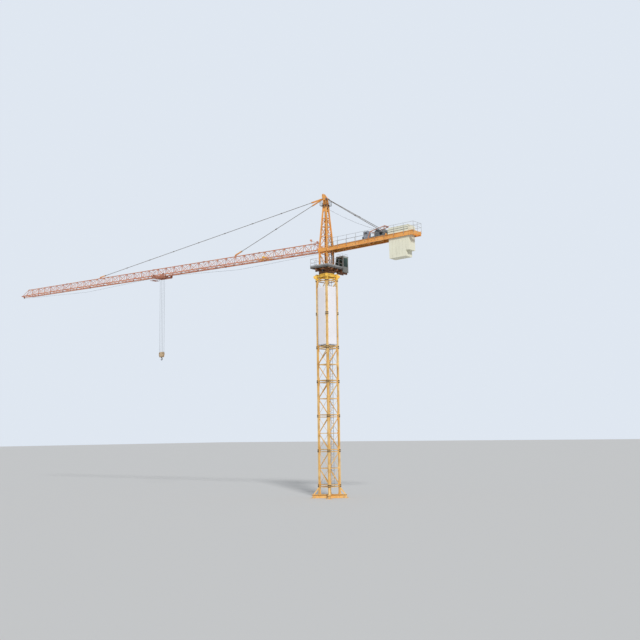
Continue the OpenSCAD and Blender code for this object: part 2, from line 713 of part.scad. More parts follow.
// The head's service platform with its railing, and the ladder that rises to it from the deck
module head_access() color("dimgray") {
    z = head_z + head_h * platform_t;
    reach = 260;
    hole = head_half(platform_t) + head_leg_w / 2 + 2 * seat;
    stand = head_bar / 2 + 90;
    lean = atan(head_slope);
    difference() {
        translate([-reach, -reach, z]) cube([2 * reach, 2 * reach, plate_t]);
        translate([-hole, -hole, z - 1]) cube([2 * hole, 2 * hole, plate_t + 2]);
    }
    for (a = [0:90:270]) rotate([0, 0, a])
        railing([-reach + 12, -reach + 12, z + 2], [reach - 12, -reach + 12, z + 2], 300, h = rail_h / 2,
                first = false);
    translate([0, column_leg_at + stand, deck_top + seat]) rotate([0, 0, 90]) ladder(head_z - deck_top);
    translate([0, column_leg_at + stand, head_z + 1.3]) rotate([lean, 0, 0]) rotate([0, 0, 90])
        ladder((head_h * platform_t - 2.6) / cos(lean));
    // Stays that hold the ladder off the head's horizontals
    for (i = [1:3], side = [-1, 1]) {
        t = head_levels[i];
        translate([side * ladder_w / 2 - 4, head_half(t) + head_bar / 2 + seat, head_z + head_h * t - 10])
            cube([8, stand - head_bar / 2 - 2, 20]);
    }
}

/* Jib */
// A point s along the jib from its foot and h above the line of the bottom chords
function jib_point(s, h) = let (c = cos(jib_rise), n = sin(jib_rise))
    [-jib_foot - s * c + h * n, 0, jib_z + s * n + h * c];

// Places its children in the jib's own frame: -X runs out along the jib from its foot, Z is square to it
module on_jib() translate([-jib_foot, 0, jib_z]) rotate([0, jib_rise, 0]) children();

rail_out = chord_w / 2 + pass + 30;
rail_t = 14;
bracket_y = 20;
bracket_t = 12;
tie_up = 90;
// Where the first section's chords begin, clear of the ears at its foot
chord_start = 54;

module jib_lattice(s0, s1) {
    half = jib_w / 2;
    for (side = [-1, 1]) {
        translate([-s1 + seat, side * half - chord_w / 2, -chord_w / 2]) cube([s1 - s0 - seat, chord_w,
            chord_w]);
        // The trolley's rail along the foot of the chord
        translate([-s1 + seat, side > 0 ? half : -half - rail_out,
            -chord_w / 2 - 10]) cube([s1 - s0 - seat, rail_out, rail_t]);
    }
    tube([-s0, 0, jib_h], [-s1 + seat, 0, jib_h], top_chord_d, 12);
    for (i = [0:jib_bays]) {
        s = floor(s0 / jib_section_l) * jib_section_l + jib_inset + i * jib_pitch;
        bar([-s, -half, 0], [-s, half, 0], lace_d, lace_d);
        if (i < jib_bays) {
            for (side = [-1, 1]) {
                top = [-s - jib_pitch / 2, 0, jib_h];
                tube([-s, side * half, 0], top, lace_d);
                tube([-s - jib_pitch, side * half, 0], top, lace_d);
            }
            flip = i % 2 == 0 ? 1 : -1;
            bar([-s, -flip * half, 0], [-s - jib_pitch, flip * half, 0], lace_d * 0.8, lace_d * 0.8);
        }
    }
    // Joint blocks where two sections meet
    for (s = [s0 + 80, s1 - seat]) {
        translate([-s, -24, jib_h - 40]) cube([80, 48, 80]);
        for (side = [-1, 1]) translate([-s, side * (half - chord_w / 2) - 12, -34]) cube([80, 24, 68]);
    }
}

// Two plates on the top chord that take a tie's pin
module tie_bracket(s) difference() {
    for (side = [-1, 1])
        side_plate(side * bracket_y, bracket_t,
                   [[-s - 80, jib_h], [-s + 80, jib_h], [-s + 34, jib_h + tie_up + 30], [-s - 34,
                       jib_h + tie_up + 30]]);
    cross_pin([-s, 0, jib_h + tie_up], tie_pin_d + 2 * run, 100);
}

module jib_section(k) color("coral") on_jib() {
    s0 = k * jib_section_l;
    s1 = (k + 1) * jib_section_l;
    if (k == 0) difference() {
        union() {
            jib_lattice(chord_start, s1);
            for (side = [-1, 1]) {
                translate([-130, side * jib_w / 2 - ear_gap / 2 + 2, -34]) cube([160, ear_gap - 4, 68]);
                tube([-70, side * jib_w / 2, 0], [-140, 0, jib_h], lace_d * 1.3);
            }
        }
        for (side = [-1, 1]) cross_pin([0, side * jib_w / 2, 0], pin_d + 2 * run, ear_gap + 20);
    }
    else jib_lattice(s0, s1);
    for (s = [tie_inner_s, tie_outer_s]) if (s > s0 && s < s1) tie_bracket(s);
}

// The tip: a short tapering frame with end beams and the hanger of the rope's tip sheave
module jib_tip() color("coral") on_jib() {
    s0 = jib_l;
    end = s0 + tip_l;
    half = jib_w / 2;
    for (side = [-1, 1]) {
        bar([-s0, side * half, 0], [-s0 - 30, side * half, 0], chord_w, chord_w);
        bar([-s0 - 14, side * half, 0], [-end, side * half * 0.6, 0], chord_w, chord_w * 0.8);
        tube([-end + 60, side * half * 0.62, 0], [-s0 - 50, 0, jib_h], lace_d);
        side_plate(side * hanger_y, hanger_t, [[-end, 20], [-end + 130, 20], [-end + 100, -110],
            [-end + 40, -110]]);
    }
    tube([-s0, 0, jib_h], [-s0 - 100, 0, jib_h], top_chord_d, 12);
    translate([-end, -half * 0.7, -20]) cube([40, 1.4 * half, 60]);
    translate([-end + 110, -half * 0.7, -14]) cube([30, 1.4 * half, 40]);
    translate([-s0 - 60, -half, -14]) cube([30, 2 * half, 28]);
}

// The trolley winch inside the jib, on skids that lie across two of the bottom bars
module trolley_winch() color("darkslategray") on_jib() {
    s = jib_inset + floor(jib_bays * 0.84) * jib_pitch + jib_pitch / 2;
    skid_l = jib_pitch + 90;
    translate([-s, 0, lace_d / 2 + seat]) {
        for (side = [-1, 1]) {
            translate([-skid_l / 2, side * 140 - 20, 0]) cube([skid_l, 40, 36]);
            side_plate(side * 150, 12, [[-120, 30], [120, 30], [60, 180], [-60, 180]]);
        }
        for (x = [-160, 120]) translate([x, -160, 4]) cube([40, 320, 30]);
        cross_pin([0, 0, 110], 130, 300, 40);
        cross_pin([0, 192, 110], 90, 84);
    }
}

/* Ties */
link_l = 900;
foot_link_l = 560;
link_t = 12;
link_w = 60;
foot_link_y = bracket_y + bracket_t + 4;

function tie_foot(s) = jib_point(s, jib_h + tie_up);
function tie_dir(s) = unit(tie_foot(s) - front_pin);
function tie_y(s) = s == tie_inner_s ? 26 : 46;

// A flat link along v from the pin at p, at the distance y from the middle, with a hole at each end
module link(p, v, y, l, w, d)
    difference() {
        bar(p - v * w / 2 + [0, y, 0], p + v * (l + w / 2) + [0, y, 0], w, link_t);
        cross_pin(p, d + 2 * run, 2 * abs(y) + 100);
        cross_pin(p + v * l, tie_pin_d + 2 * run, 2 * abs(y) + 100);
    }

// Flat links in pairs at both ends of the jib's ties, with the pins on the jib's top chord
module tie_links() color("darkorange")
    for (s = [tie_inner_s, tie_outer_s]) {
        for (side = [-1, 1]) {
            link(front_pin, tie_dir(s), side * tie_y(s), link_l, link_w, apex_pin_d);
            link(tie_foot(s) - tie_dir(s) * foot_link_l, tie_dir(s), side * foot_link_y, foot_link_l,
                link_w, tie_pin_d);
        }
        cross_pin(tie_foot(s), tie_pin_d, 2 * foot_link_y + 40);
    }

// A round tie from p to q with its couplings
module tie_rod(p, q) {
    v = unit(q - p);
    n = max(2, round(norm(q - p) / 2600));
    tube(p, q, tie_d, 24);
    for (i = [0:n]) bar(mix(p, q, i / n) - v * 60, mix(p, q, i / n) + v * 60, tie_d + 20, tie_block);
}

module jib_ties() color("dimgray")
    for (s = [tie_inner_s, tie_outer_s]) {
        p = front_pin + tie_dir(s) * link_l;
        q = tie_foot(s) - tie_dir(s) * foot_link_l;
        tie_rod(p, q);
        cross_pin(p, tie_pin_d, 2 * (tie_y(s) + link_t));
        cross_pin(q, tie_pin_d, 2 * (foot_link_y + link_t));
    }

/* Counter-jib */
// A point s along the counter-jib from the column's face, y across it and h above its girders
function counter_point(s, y, h) = let (c = cos(counter_rise), n = sin(counter_rise))
    [column_w / 2 + s * c - h * n, y, girder_top + s * n + h * c];

// Places its children in the counter-jib's frame: X runs out from the column, and Z = 0 is the girders' top
module on_counter() translate([column_w / 2, 0, girder_top]) rotate([0, -counter_rise, 0]) children();

lug_t = 16;
tie_lug_h = 80;
end_gap = 370;
slab_start = counter_l - end_gap - (slab_count + 1) * (slab_t + slab_gap);
counter_tie_s = slab_start - tie_gap;
drum_s = slab_start - drum_gap;
cross_h = 130;
cross_up = 60;
cross_bays = 4;
last_bay = 748;
cross_pitch = (slab_start - last_bay) / cross_bays;

module counter_jib_frame() color("darkorange") on_counter() {
    x0 = root_plate_out + seat;
    for (side = [-1, 1]) {
        translate([x0, side * girder_y, -girder_h]) i_beam(counter_l - x0, girder_h, flange_w, 20, 12);
        side_plate(side * girder_y, lug_t, [[counter_tie_s - 70, -2], [counter_tie_s + 70, -2],
                                            [counter_tie_s + 30, tie_lug_h + 30], [counter_tie_s - 30,
                                                tie_lug_h + 30]]);
        cross_pin([counter_tie_s, side * (girder_y - 20), tie_lug_h], tie_pin_d, 90);
    }
    for (x = concat([x0, slab_start - 90, counter_l - end_gap + 60], [for (i = [1:cross_bays]) i * cross_pitch]))
        translate([x, -girder_y, -girder_h + cross_up]) cube([50, 2 * girder_y, cross_h]);
    for (i = [0:cross_bays - 1]) {
        flip = i % 2 == 0 ? 1 : -1;
        from = 20 + i * cross_pitch;
        bar([from, -flip * girder_y, -girder_h + 110], [from + cross_pitch, flip * girder_y, -girder_h + 110],
            40, 36);
    }
    translate([counter_l - 16, -counter_w / 2, -girder_h + 30]) cube([16, counter_w, girder_h - 60]);
}

// The walkway between the girders, on their cross beams, up to the counterweights
module counter_jib_deck() color("gray") on_counter() {
    y = girder_y - 8;
    translate([20, -y, -girder_h + cross_up + cross_h + seat]) cube([slab_start - 90, 2 * y, 24]);
}

module counter_jib_railing() color("lightgray") on_counter() {
    y = counter_w / 2 + rail_d / 2 + seat;
    end = counter_l + rail_d / 2 + seat;
    foot = 130;
    for (side = [-1, 1]) railing([180, side * y, 0], [end, side * y, 0], 620, foot = foot);
    railing([end, -y, 0], [end, y, 0], 500, first = false, last = false, foot = foot);
}

counter_tie_y = cheek_y + cheek_t / 2 + tie_block / 2 + 4;

module counter_jib_ties() color("dimgray")
    for (side = [-1, 1]) {
        p = rear_pin + [0, side * counter_tie_y, 0];
        q = counter_point(counter_tie_s, side * (girder_y - lug_t / 2 - tie_block / 2 - 4), tie_lug_h);
        v = unit(q - p);
        difference() {
            union() {
                tie_rod(p + v * 60, q - v * 60);
                bar(p - v * 46, p + v * 130, 92, tie_block + 2);
                bar(q - v * 130, q + v * 40, 66, tie_block + 2);
            }
            cross_pin(p, apex_pin_d + 2 * run, 3 * tie_block);
            cross_pin(q, tie_pin_d + 2 * run, 3 * tie_block);
        }
    }

// A counterweight slab hangs between the girders by the shoulders at its top
module slab(foot) {
    body = counter_w - 2 * flange_w - 40;
    translate([0, -body / 2, -foot]) cube([slab_t, body, foot + slab_shoulder]);
    translate([0, -counter_w / 2 + 4, seat]) cube([slab_t, counter_w - 8, slab_shoulder - 60]);
}

module counterweights() color("ivory") on_counter()
    for (i = [0:slab_count])
        translate([slab_start + i * (slab_t + slab_gap), 0, 0])
            slab(i < slab_count ? slab_drop : slab_drop - 330);

/* Hoisting winch */
drum_cheek_y = drum_l / 2 + 34;
drum_axle_r = 30;
gear_s = drum_s + 460;
gear_top = 390;
skid_y = girder_y - 60;
skid_l = 980;
skid_back = 420;

// The winch's frame on the girders, with the drum's cheeks, its gearbox and its motor
module hoist_winch() color("dimgray") on_counter() {
    for (s = [drum_s - skid_back, drum_s + 200]) translate([s, -counter_w / 2 + 20, seat]) cube([60,
        counter_w - 40, 40]);
    for (side = [-1, 1]) {
        translate([drum_s - skid_back, side * skid_y - 30, 30]) cube([skid_l, 60, 50]);
        difference() {
            side_plate(side * drum_cheek_y, 18, [[drum_s - 210, 60], [drum_s + 210, 60], [drum_s + 90,
                drum_up + 70],
                                                 [drum_s - 90, drum_up + 70]]);
            cross_pin([drum_s, side * drum_cheek_y, drum_up], 2 * (drum_axle_r + seat), 40);
        }
    }
    for (s = [drum_s - 200, drum_s + 150]) translate([s, -skid_y, 40]) cube([50, 2 * skid_y, 40]);
    translate([gear_s - 90, -skid_y, 40]) cube([180, 2 * skid_y, 36]);
    translate([gear_s - 75, -skid_y + 20, 70]) cube([150, 200, gear_top - 70]);
    cross_pin([gear_s, 80, 250], 180, 420, 40);
    translate([gear_s - 60, 40, 70]) cube([120, 200, 120]);
}

// The rope drum with its flanges and wound rope, on its axle in the two cheeks
module hoist_drum() color("slategray") on_counter() translate([drum_s, 0, drum_up]) {
    cross_pin([0, 0, 0], 2 * drum_r, drum_l, 64);
    for (side = [-1, 1]) cross_pin([0, side * (drum_l / 2 + 8), 0], 2 * drum_r + 90, 16, 64);
    for (i = [-8:8]) cross_pin([0, i * drum_l / 18, 0], 2 * drum_r + rope_d, rope_d, 48);
    cross_pin([0, 0, 0], 2 * drum_axle_r, 2 * drum_cheek_y + 30);
}

// A light service frame over the winch: two posts on the girders, a rising boom and a leg on the gearbox
module service_davit() color("orangered") on_counter() {
    s = drum_s - 500;
    top = 430;
    y = girder_y - 160;
    leg = [gear_s, -skid_y + 120];
    end = [leg.x + 60, top + 170];
    boom_w = 36;
    davit_foot_t = 14;
    for (side = [-1, 1]) {
        translate([s - 100, side * girder_y - 25, seat]) cube([80, 50, davit_foot_t]);
        bar([s - 60, side * girder_y, davit_foot_t], [s, side * y, top], boom_w, boom_w);
        bar([s, side * y, top], [end.x, side * y, end.y], boom_w, boom_w);
    }
    for (p = [[s, top], end]) translate([p.x - boom_w / 2, -y, p.y - boom_w / 2]) cube([boom_w, 2 * y,
        boom_w]);
    rise = (end.y - top) / (end.x - s);
    translate([leg.x - 15, leg.y - 15, gear_top + seat]) cube([30, 30, top + (leg.x - s) * rise - gear_top]);
    translate([leg.x - 15, -y, top + (leg.x - s) * rise - 15]) cube([30, 2 * y, 30]);
}

/* Ropes */
trolley_sheave_h = -160;
rope_sag = 280;
trolley_x = jib_point(trolley_s, trolley_sheave_h).x;
outer_sheave_at = block_pitch / 2 + 2 * sheave_r;
drum_rope_r = drum_r + rope_d + pass;

// The point at the angle a of a rope that runs round the centre c at the radius r
function wrap(c, r, a) = c + r * [cos(a), 0, sin(a)];

// From the drum over the head's sheave, and from there down and round the sheave under the head
module rope_to_head() color("dimgray")
    rope(concat(hanging(counter_point(drum_s, 0, drum_up) + drum_rope_r * [sin(20), 0, cos(20)],
                        wrap(head_sheave, head_sheave_r, 56), 130, 10),
                [for (a = [64:8:176]) wrap(head_sheave, head_sheave_r, a)],
                [for (a = [0:-9:-81]) wrap(root_sheave, guide_sheave_r, a)]), rope_d);

// Along the underside of the jib, from its foot to the trolley
module jib_rope_inner() color("dimgray")
    rope(hanging(wrap(jib_point(trolley_s - outer_sheave_at, trolley_sheave_h), sheave_r, 84),
                 wrap(root_sheave, guide_sheave_r, -86), rope_sag, 14), rope_d);

// Along the underside of the jib, from the trolley to its tip
module jib_rope_outer() color("dimgray")
    rope(hanging(wrap(jib_point(trolley_s + outer_sheave_at, trolley_sheave_h), sheave_r, 93),
                 wrap(jib_point(tip_sheave_s, guide_h), guide_sheave_r, -95), rope_sag, 14), rope_d);

module rope_falls() color("dimgray")
    for (x = falls)
        translate([trolley_x + x, 0, block_z])
            cylinder(d = rope_d, h = jib_point(trolley_s, trolley_sheave_h).z - block_z - 4, $fn = 16);

/* Trolley */
module on_trolley() translate(jib_point(trolley_s, 0)) rotate([0, jib_rise, 0]) children();

wheel_w = 28;
wheel_y = jib_w / 2 + chord_w / 2 + pass + wheel_w / 2;
wheel_h = -chord_w / 2 - 10 + rail_t + wheel_r + run;
wheel_at = trolley_l / 2 - 130;
frame_t = 12;
frame_y = jib_w / 2 + rail_out + pass + frame_t / 2;
sheave_rail_y = 40;

module trolley_frame() color("firebrick") on_trolley() {
    top = wheel_h + 40;
    l = trolley_l / 2;
    for (side = [-1, 1]) {
        side_plate(side * frame_y, frame_t,
                   [[-l, -110], [-l + 60, -220], [l - 60, -220], [l, -110], [l - 60, top], [l - 200,
                       top], [l - 250, -80],
                    [-l + 250, -80], [-l + 200, top], [-l + 60, top]]);
        translate([-l + 70, side * sheave_rail_y - 6, -220]) cube([2 * l - 140, 12, 110]);
    }
    for (x = [-l + 80, l - 140]) translate([x, -frame_y, -215]) cube([60, 2 * frame_y, 60]);
}

// Four running wheels on the jib's rails, and the sheaves that the rope falls hang from
module trolley_rollers() color("dimgray") on_trolley() {
    hub_l = frame_y - frame_t / 2 - seat - wheel_y;
    for (side = [-1, 1], x = [-wheel_at, wheel_at]) {
        cross_pin([x, side * wheel_y, wheel_h], 2 * wheel_r, wheel_w, 48);
        cross_pin([x, side * (wheel_y + hub_l / 2), wheel_h], 28, hub_l);
    }
    for (x = [-1, 0, 1])
        translate([x * outer_sheave_at, 0, trolley_sheave_h])
            sheave(x == 0 ? block_pitch / 2 - sheave_r : sheave_r, sheave_w, 14,
                2 * sheave_rail_y - 12 - 2 * seat);
}

/* Hook block and hook */
module on_block() translate([trolley_x, 0, block_z]) children();

cheek_in = 26;
cheek_w = 26;
block_axle_r = 18;
shank_r = 28;
block_foot = 280;
block_l = block_pitch / 2 + sheave_r + rope_d - 4;

module hook_block() color("tan") on_block() difference() {
    out = cheek_in + cheek_w;
    union() {
        for (side = [-1, 1])
            side_plate(side * (cheek_in + cheek_w / 2), cheek_w,
                       [[-block_l, 20], [-block_l + 50, 76], [block_l - 50, 76], [block_l, 20], [block_l,
                           -130],
                        [block_l - 60, -block_foot], [-block_l + 60, -block_foot], [-block_l, -130]]);
        translate([-130, -out, -block_foot]) cube([260, 2 * out, 80]);
        side_plate(0, 2 * cheek_in + 2, [[-40, -60], [40, -60], [40, 90], [-40, 90]]);
    }
    translate([0, 0, -block_foot - 1]) cylinder(r = shank_r + run, h = 61, $fn = 32);
    for (side = [-1, 1]) cross_pin([side * block_pitch / 2, 0, 0], 2 * (block_axle_r + seat), 2 * out + 10);
}

module block_sheaves() color("dimgray") on_block()
    for (side = [-1, 1]) translate([side * block_pitch / 2, 0, 0])
        sheave(sheave_r, sheave_w, block_axle_r, 2 * (cheek_in + cheek_w) + 20);

// The hook on its shank: a round bar bent below the block, open on one side
module hook() color("dimgray") on_block() translate([0, 0, -block_foot]) {
    drop = 70;
    translate([0, 0, -drop]) cylinder(r = shank_r, h = drop + 50, $fn = 32);
    translate([0, 0, -14 - pass]) cylinder(r = shank_r + 18, h = 14, $fn = 32);
    translate([0, 0, -drop - hook_r + 10]) rotate([90, 0, 0])
        rotate([0, 0, -170]) rotate_extrude(angle = 260, $fn = 48) translate([hook_r,
            0]) circle(d = hook_d, $fn = 32);
}

base_cross();
mast_section(0);  // mast_section_1
mast_section(1);  // mast_section_2
mast_section(2);  // mast_section_3
mast_section(3);  // mast_section_4
mast_section(4);  // mast_section_5
mast_section(5);  // mast_section_6
mast_access();
mast_banners();
slewing_support();
slewing_ring();
turntable();
slewing_motors();
deck();
deck_railing();
cab_body();
cab_windows();
column();
root_frame();
tower_head();
head_apex();
head_access();
rope_sheaves();
jib_section(0);  // jib_section_1
jib_section(1);  // jib_section_2
jib_section(2);  // jib_section_3
jib_section(3);  // jib_section_4
jib_section(4);  // jib_section_5
jib_section(5);  // jib_section_6
jib_tip();
trolley_winch();
tie_links();
jib_ties();
counter_jib_frame();
counter_jib_deck();
counter_jib_railing();
counter_jib_ties();
counterweights();
hoist_winch();
hoist_drum();
service_davit();
rope_to_head();
jib_rope_inner();
jib_rope_outer();
rope_falls();
trolley_frame();
trolley_rollers();
hook_block();
block_sheaves();
hook();
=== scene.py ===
"""Dresses the tower crane's frame: finishes on its own nodes, and the small pieces that they carry."""
import math
import random

import bmesh
import bpy
from mathutils import Matrix, Vector


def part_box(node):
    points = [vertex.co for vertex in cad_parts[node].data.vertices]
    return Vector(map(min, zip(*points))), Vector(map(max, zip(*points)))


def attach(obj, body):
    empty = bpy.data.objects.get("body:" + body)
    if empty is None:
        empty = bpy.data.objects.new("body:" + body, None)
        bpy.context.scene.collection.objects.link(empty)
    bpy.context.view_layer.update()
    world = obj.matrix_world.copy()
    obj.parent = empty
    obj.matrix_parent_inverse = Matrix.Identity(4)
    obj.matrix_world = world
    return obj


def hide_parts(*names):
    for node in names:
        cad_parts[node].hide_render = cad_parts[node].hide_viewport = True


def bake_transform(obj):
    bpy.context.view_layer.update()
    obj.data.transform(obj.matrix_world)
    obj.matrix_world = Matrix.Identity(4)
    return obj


bl_info = {
    "name": "Tower Crane Dressing",
    "version": (1, 0, 0),
    "blender": (4, 5, 0),
    "location": "View3D > Sidebar > Crane",
    "description": "Adds finishes, bolts, ropes, fittings and a stage to the tower crane's frame",
    "category": "Object",
}

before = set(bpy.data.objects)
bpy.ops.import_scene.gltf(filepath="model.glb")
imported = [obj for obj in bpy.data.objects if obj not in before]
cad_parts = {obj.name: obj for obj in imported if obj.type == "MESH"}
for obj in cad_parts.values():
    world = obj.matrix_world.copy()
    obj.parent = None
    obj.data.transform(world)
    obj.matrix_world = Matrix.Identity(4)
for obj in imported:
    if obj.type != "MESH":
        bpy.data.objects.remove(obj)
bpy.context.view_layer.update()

# Places that the frame gives, in metres
MAST_LOW, MAST_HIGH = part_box("mast_section_1")[0][2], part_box("mast_section_6")[1][2]
SECTIONS, MAST_BAYS = 6, 2
SECTION_H = (MAST_HIGH - MAST_LOW) / SECTIONS
MAST_TURN = math.radians(-9)
LEG_AT, SLEEVE_W, BAR_W, JOINT_INSET = 0.41, 0.128, 0.042, 0.06
ROOT_LOW, ROOT_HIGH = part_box("root_frame")[0][2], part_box("root_frame")[1][2]
DECK_LOW, DECK_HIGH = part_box("deck")
CAB_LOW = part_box("cab_body")[0]
JIB_FOOT = Vector((-0.400, 0, ROOT_LOW + 0.170))
JIB_RISE = math.radians(0.9)
JIB_HALF, JIB_H, JIB_SECTION, JIB_INSET, JIB_BAYS, JIB_SECTIONS = 0.31, 0.49, 5.0, 0.07, 6, 6
TROLLEY_S, TROLLEY_L, SHEAVE_R, BLOCK_PITCH, SHEAVE_DROP = 14.06, 1.24, 0.075, 0.30, -0.160
ROLLER_AT, ROLLER_DROP = (7.97, 22.14), -0.105
COUNTER_FOOT = Vector((0.330, 0, ROOT_HIGH - 0.050))
COUNTER_RISE = math.radians(1.1)
GIRDER_Y, GIRDER_H = 0.364, 0.25
CROSS_UP, CROSS_H, GRATING_T = 0.06, 0.13, 0.0245
SLABS, SLAB_START, SLAB_STEP, SLAB_T, SLAB_TOP, SLAB_SIDE = 6, 4.348, 0.222, 0.216, 0.38, 0.404
DRUM_S, DRUM_UP, GEAR_S, GEAR_UP = 3.52, 0.29, 3.98, 0.25
ROPE_R, ROPE_SAG, END_SHEAVE_R = 0.0055, 0.28, 0.050
ROOT_SHEAVE = Vector((-0.142, 0, ROOT_LOW + END_SHEAVE_R))
BLOCK_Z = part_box("block_sheaves")[1][2] - SHEAVE_R - 2 * ROPE_R

ON_MAST = Matrix.Rotation(MAST_TURN, 4, "Z")
ON_JIB = Matrix.Translation(JIB_FOOT) @ Matrix.Rotation(JIB_RISE, 4, "Y")
ON_COUNTER = Matrix.Translation(COUNTER_FOOT) @ Matrix.Rotation(-COUNTER_RISE, 4, "Y")
TROLLEY = ON_JIB @ Vector((-TROLLEY_S, 0, 0))
ON_TROLLEY = Matrix.Translation(TROLLEY) @ Matrix.Rotation(JIB_RISE, 4, "Y")
SHEAVE_LINE = ON_JIB @ Vector((-TROLLEY_S, 0, SHEAVE_DROP))
ON_BLOCK = Matrix.Translation((SHEAVE_LINE.x, 0, BLOCK_Z))
TIP_SHEAVE = ON_JIB @ Vector((-30.63, 0, -0.084))
NO_TURN = Matrix.Identity(4)

# A bolt's washer and head, as shares of the bolt's diameter
WASHER_T, WASHER_D, HEAD_LOW, HEAD_HIGH, HEAD_D = 0.18, 2.3, 0.15, 0.85, 1.7

# Which finish each node of the frame takes
NODE_FINISHES = {
    "mast_paint": ["base_cross"] + [f"mast_section_{k}" for k in range(1, 7)],
    "galvanised": ["mast_access", "deck_railing", "counter_jib_railing"],
    "grating": ["deck", "counter_jib_deck"],
    "banner": ["mast_banners"],
    "bright_yellow": ["slewing_support", "trolley_winch"],
    "brown_paint": ["turntable"],
    "machine_grey": ["slewing_motors", "hoist_winch"],
    "dark_steel": ["slewing_ring", "head_access", "rope_sheaves", "trolley_rollers", "block_sheaves", "hook"],
    "tie_steel": ["jib_ties", "counter_jib_ties"],
    "cab_paint": ["cab_body"],
    "glass": ["cab_windows"],
    "orange_paint": ["column", "root_frame", "tower_head", "head_apex", "tie_links", "counter_jib_frame"],
    "jib_paint": [f"jib_section_{k}" for k in range(1, 7)] + ["jib_tip", "service_davit"],
    "trolley_paint": ["trolley_frame"],
    "concrete": ["counterweights"],
    "wire_rope": ["hoist_drum", "rope_to_head", "jib_rope_inner", "jib_rope_outer", "rope_falls"],
    "block_paint": ["hook_block"],
}
finishes = {}


class CraneColours(bpy.types.PropertyGroup):
    """Colours of the crane's paints and sheets"""
    mast: bpy.props.FloatVectorProperty(
        name="Mast", description="Paint of the mast", subtype="COLOR", default=(0.78, 0.43, 0.11))
    head: bpy.props.FloatVectorProperty(
        name="Head", description="Paint of the head and counter-jib", subtype="COLOR", default=(0.82, 0.34, 0.065))
    jib: bpy.props.FloatVectorProperty(
        name="Jib", description="Paint of the jib", subtype="COLOR", default=(0.60, 0.22, 0.12))
    support: bpy.props.FloatVectorProperty(
        name="Support", description="Paint of the slewing support", subtype="COLOR", default=(0.86, 0.46, 0.03))
    # Turntable: reddish-brown paint darkened with painted shade, as the deck's underside lies in shade
    turntable: bpy.props.FloatVectorProperty(
        name="Turntable", description="Paint under the deck", subtype="COLOR", default=(0.19, 0.065, 0.022))
    cab: bpy.props.FloatVectorProperty(
        name="Cab", description="Paint of the cab", subtype="COLOR", default=(0.36, 0.37, 0.33))
    banner: bpy.props.FloatVectorProperty(
        name="Banner", description="Sheet of the banners", subtype="COLOR", default=(0.86, 0.84, 0.87))
    slab: bpy.props.FloatVectorProperty(
        name="Slab", description="Paint of the counterweights", subtype="COLOR", default=(0.80, 0.78, 0.62))
    block: bpy.props.FloatVectorProperty(
        name="Hook block", description="Paint of the hook block", subtype="COLOR", default=(0.50, 0.34, 0.19))


class CraneSizes(bpy.types.PropertyGroup):
    """Sizes of the small pieces that the frame carries"""
    lacing_d: bpy.props.FloatProperty(
        name="Lacing", description="Diameter of the jib's thin posts", subtype="DISTANCE", default=0.020)
    counter_brace_d: bpy.props.FloatProperty(
        name="Counter-braces", description="Width of the mast's thin braces", subtype="DISTANCE", default=0.024)
    bolt_d: bpy.props.FloatProperty(
        name="Bolts", description="Diameter of the mast's bolts", subtype="DISTANCE", default=0.026)
    ripple: bpy.props.FloatProperty(
        name="Ripple", description="Depth of the banners' ripples", subtype="DISTANCE", default=0.0035)
    kick_h: bpy.props.FloatProperty(
        name="Kick plate", description="Height of the deck's kick plate", subtype="DISTANCE", default=0.075)


# Mesh helpers

def add_rod(mesh, p, q, d, sides=6, place=NO_TURN):
    """A rod of few sides from p to q."""
    p, q = place @ Vector(p), place @ Vector(q)
    run = q - p
    turn = run.to_track_quat("Z", "Y").to_matrix().to_4x4()
    bmesh.ops.create_cone(mesh, cap_ends=True, segments=sides, radius1=d / 2, radius2=d / 2, depth=run.length,
                          matrix=Matrix.Translation((p + q) / 2) @ turn)


def add_box(mesh, low, high, place=NO_TURN, bevel=0.0):
    """A box between two corners, with its edges rounded where a bevel is given."""
    low, high = Vector(low), Vector(high)
    made = bmesh.ops.create_cube(mesh, size=1.0, matrix=place @ Matrix.Translation((low + high) / 2)
                                 @ Matrix.Diagonal((*(high - low), 1)))
    if bevel:
        edges = {e for v in made["verts"] for e in v.link_edges}
        bmesh.ops.bevel(mesh, geom=list(edges), offset=bevel, affect="EDGES", segments=2, profile=0.5, material=-1)


def add_bolt(mesh, at, axis, d, place=NO_TURN):
    """A hexagon head on a washer, standing on a face at the point given."""
    at, axis = Vector(at), Vector(axis).normalized()
    add_rod(mesh, at, at + axis * d * WASHER_T, d * WASHER_D, 12, place)
    add_rod(mesh, at + axis * d * HEAD_LOW, at + axis * d * HEAD_HIGH, d * HEAD_D, 6, place)


def add_ring(mesh, centre, radius, tube, start, end, steps, place=NO_TURN, sides=8):
    """A round bar bent about Y from one angle to another, in degrees from +X."""
    first = (Matrix.Translation(Vector(centre)) @ Matrix.Rotation(-math.radians(start), 4, "Y")
             @ Matrix.Translation((radius, 0, 0)))
    made = bmesh.ops.create_circle(mesh, cap_ends=False, segments=sides, radius=tube, matrix=place @ first)
    verts = made["verts"]
    edges = list({e for v in verts for e in v.link_edges})
    axis = (place.to_3x3() @ Vector((0, -1, 0))).normalized()
    spun = bmesh.ops.spin(mesh, geom=verts + edges, cent=place @ Vector(centre), axis=axis,
                          angle=math.radians(end - start), steps=steps, use_merge=False, use_duplicate=False)
    last = [g for g in spun["geom_last"] if isinstance(g, bmesh.types.BMEdge)]
    bmesh.ops.holes_fill(mesh, edges=edges + last, sides=0)


def finish_piece(name, mesh, finish, body, smooth=False):
    """Makes the piece's object at the origin, gives it its finish and lets it ride on its body."""
    bmesh.ops.recalc_face_normals(mesh, faces=mesh.faces)
    data = bpy.data.meshes.new(name)
    mesh.to_mesh(data)
    mesh.free()
    data.materials.append(finishes[finish])
    for face in data.polygons:
        face.use_smooth = smooth
    piece = bpy.data.objects.new(name, data)
    bpy.context.scene.collection.objects.link(piece)
    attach(piece, body)
    return piece


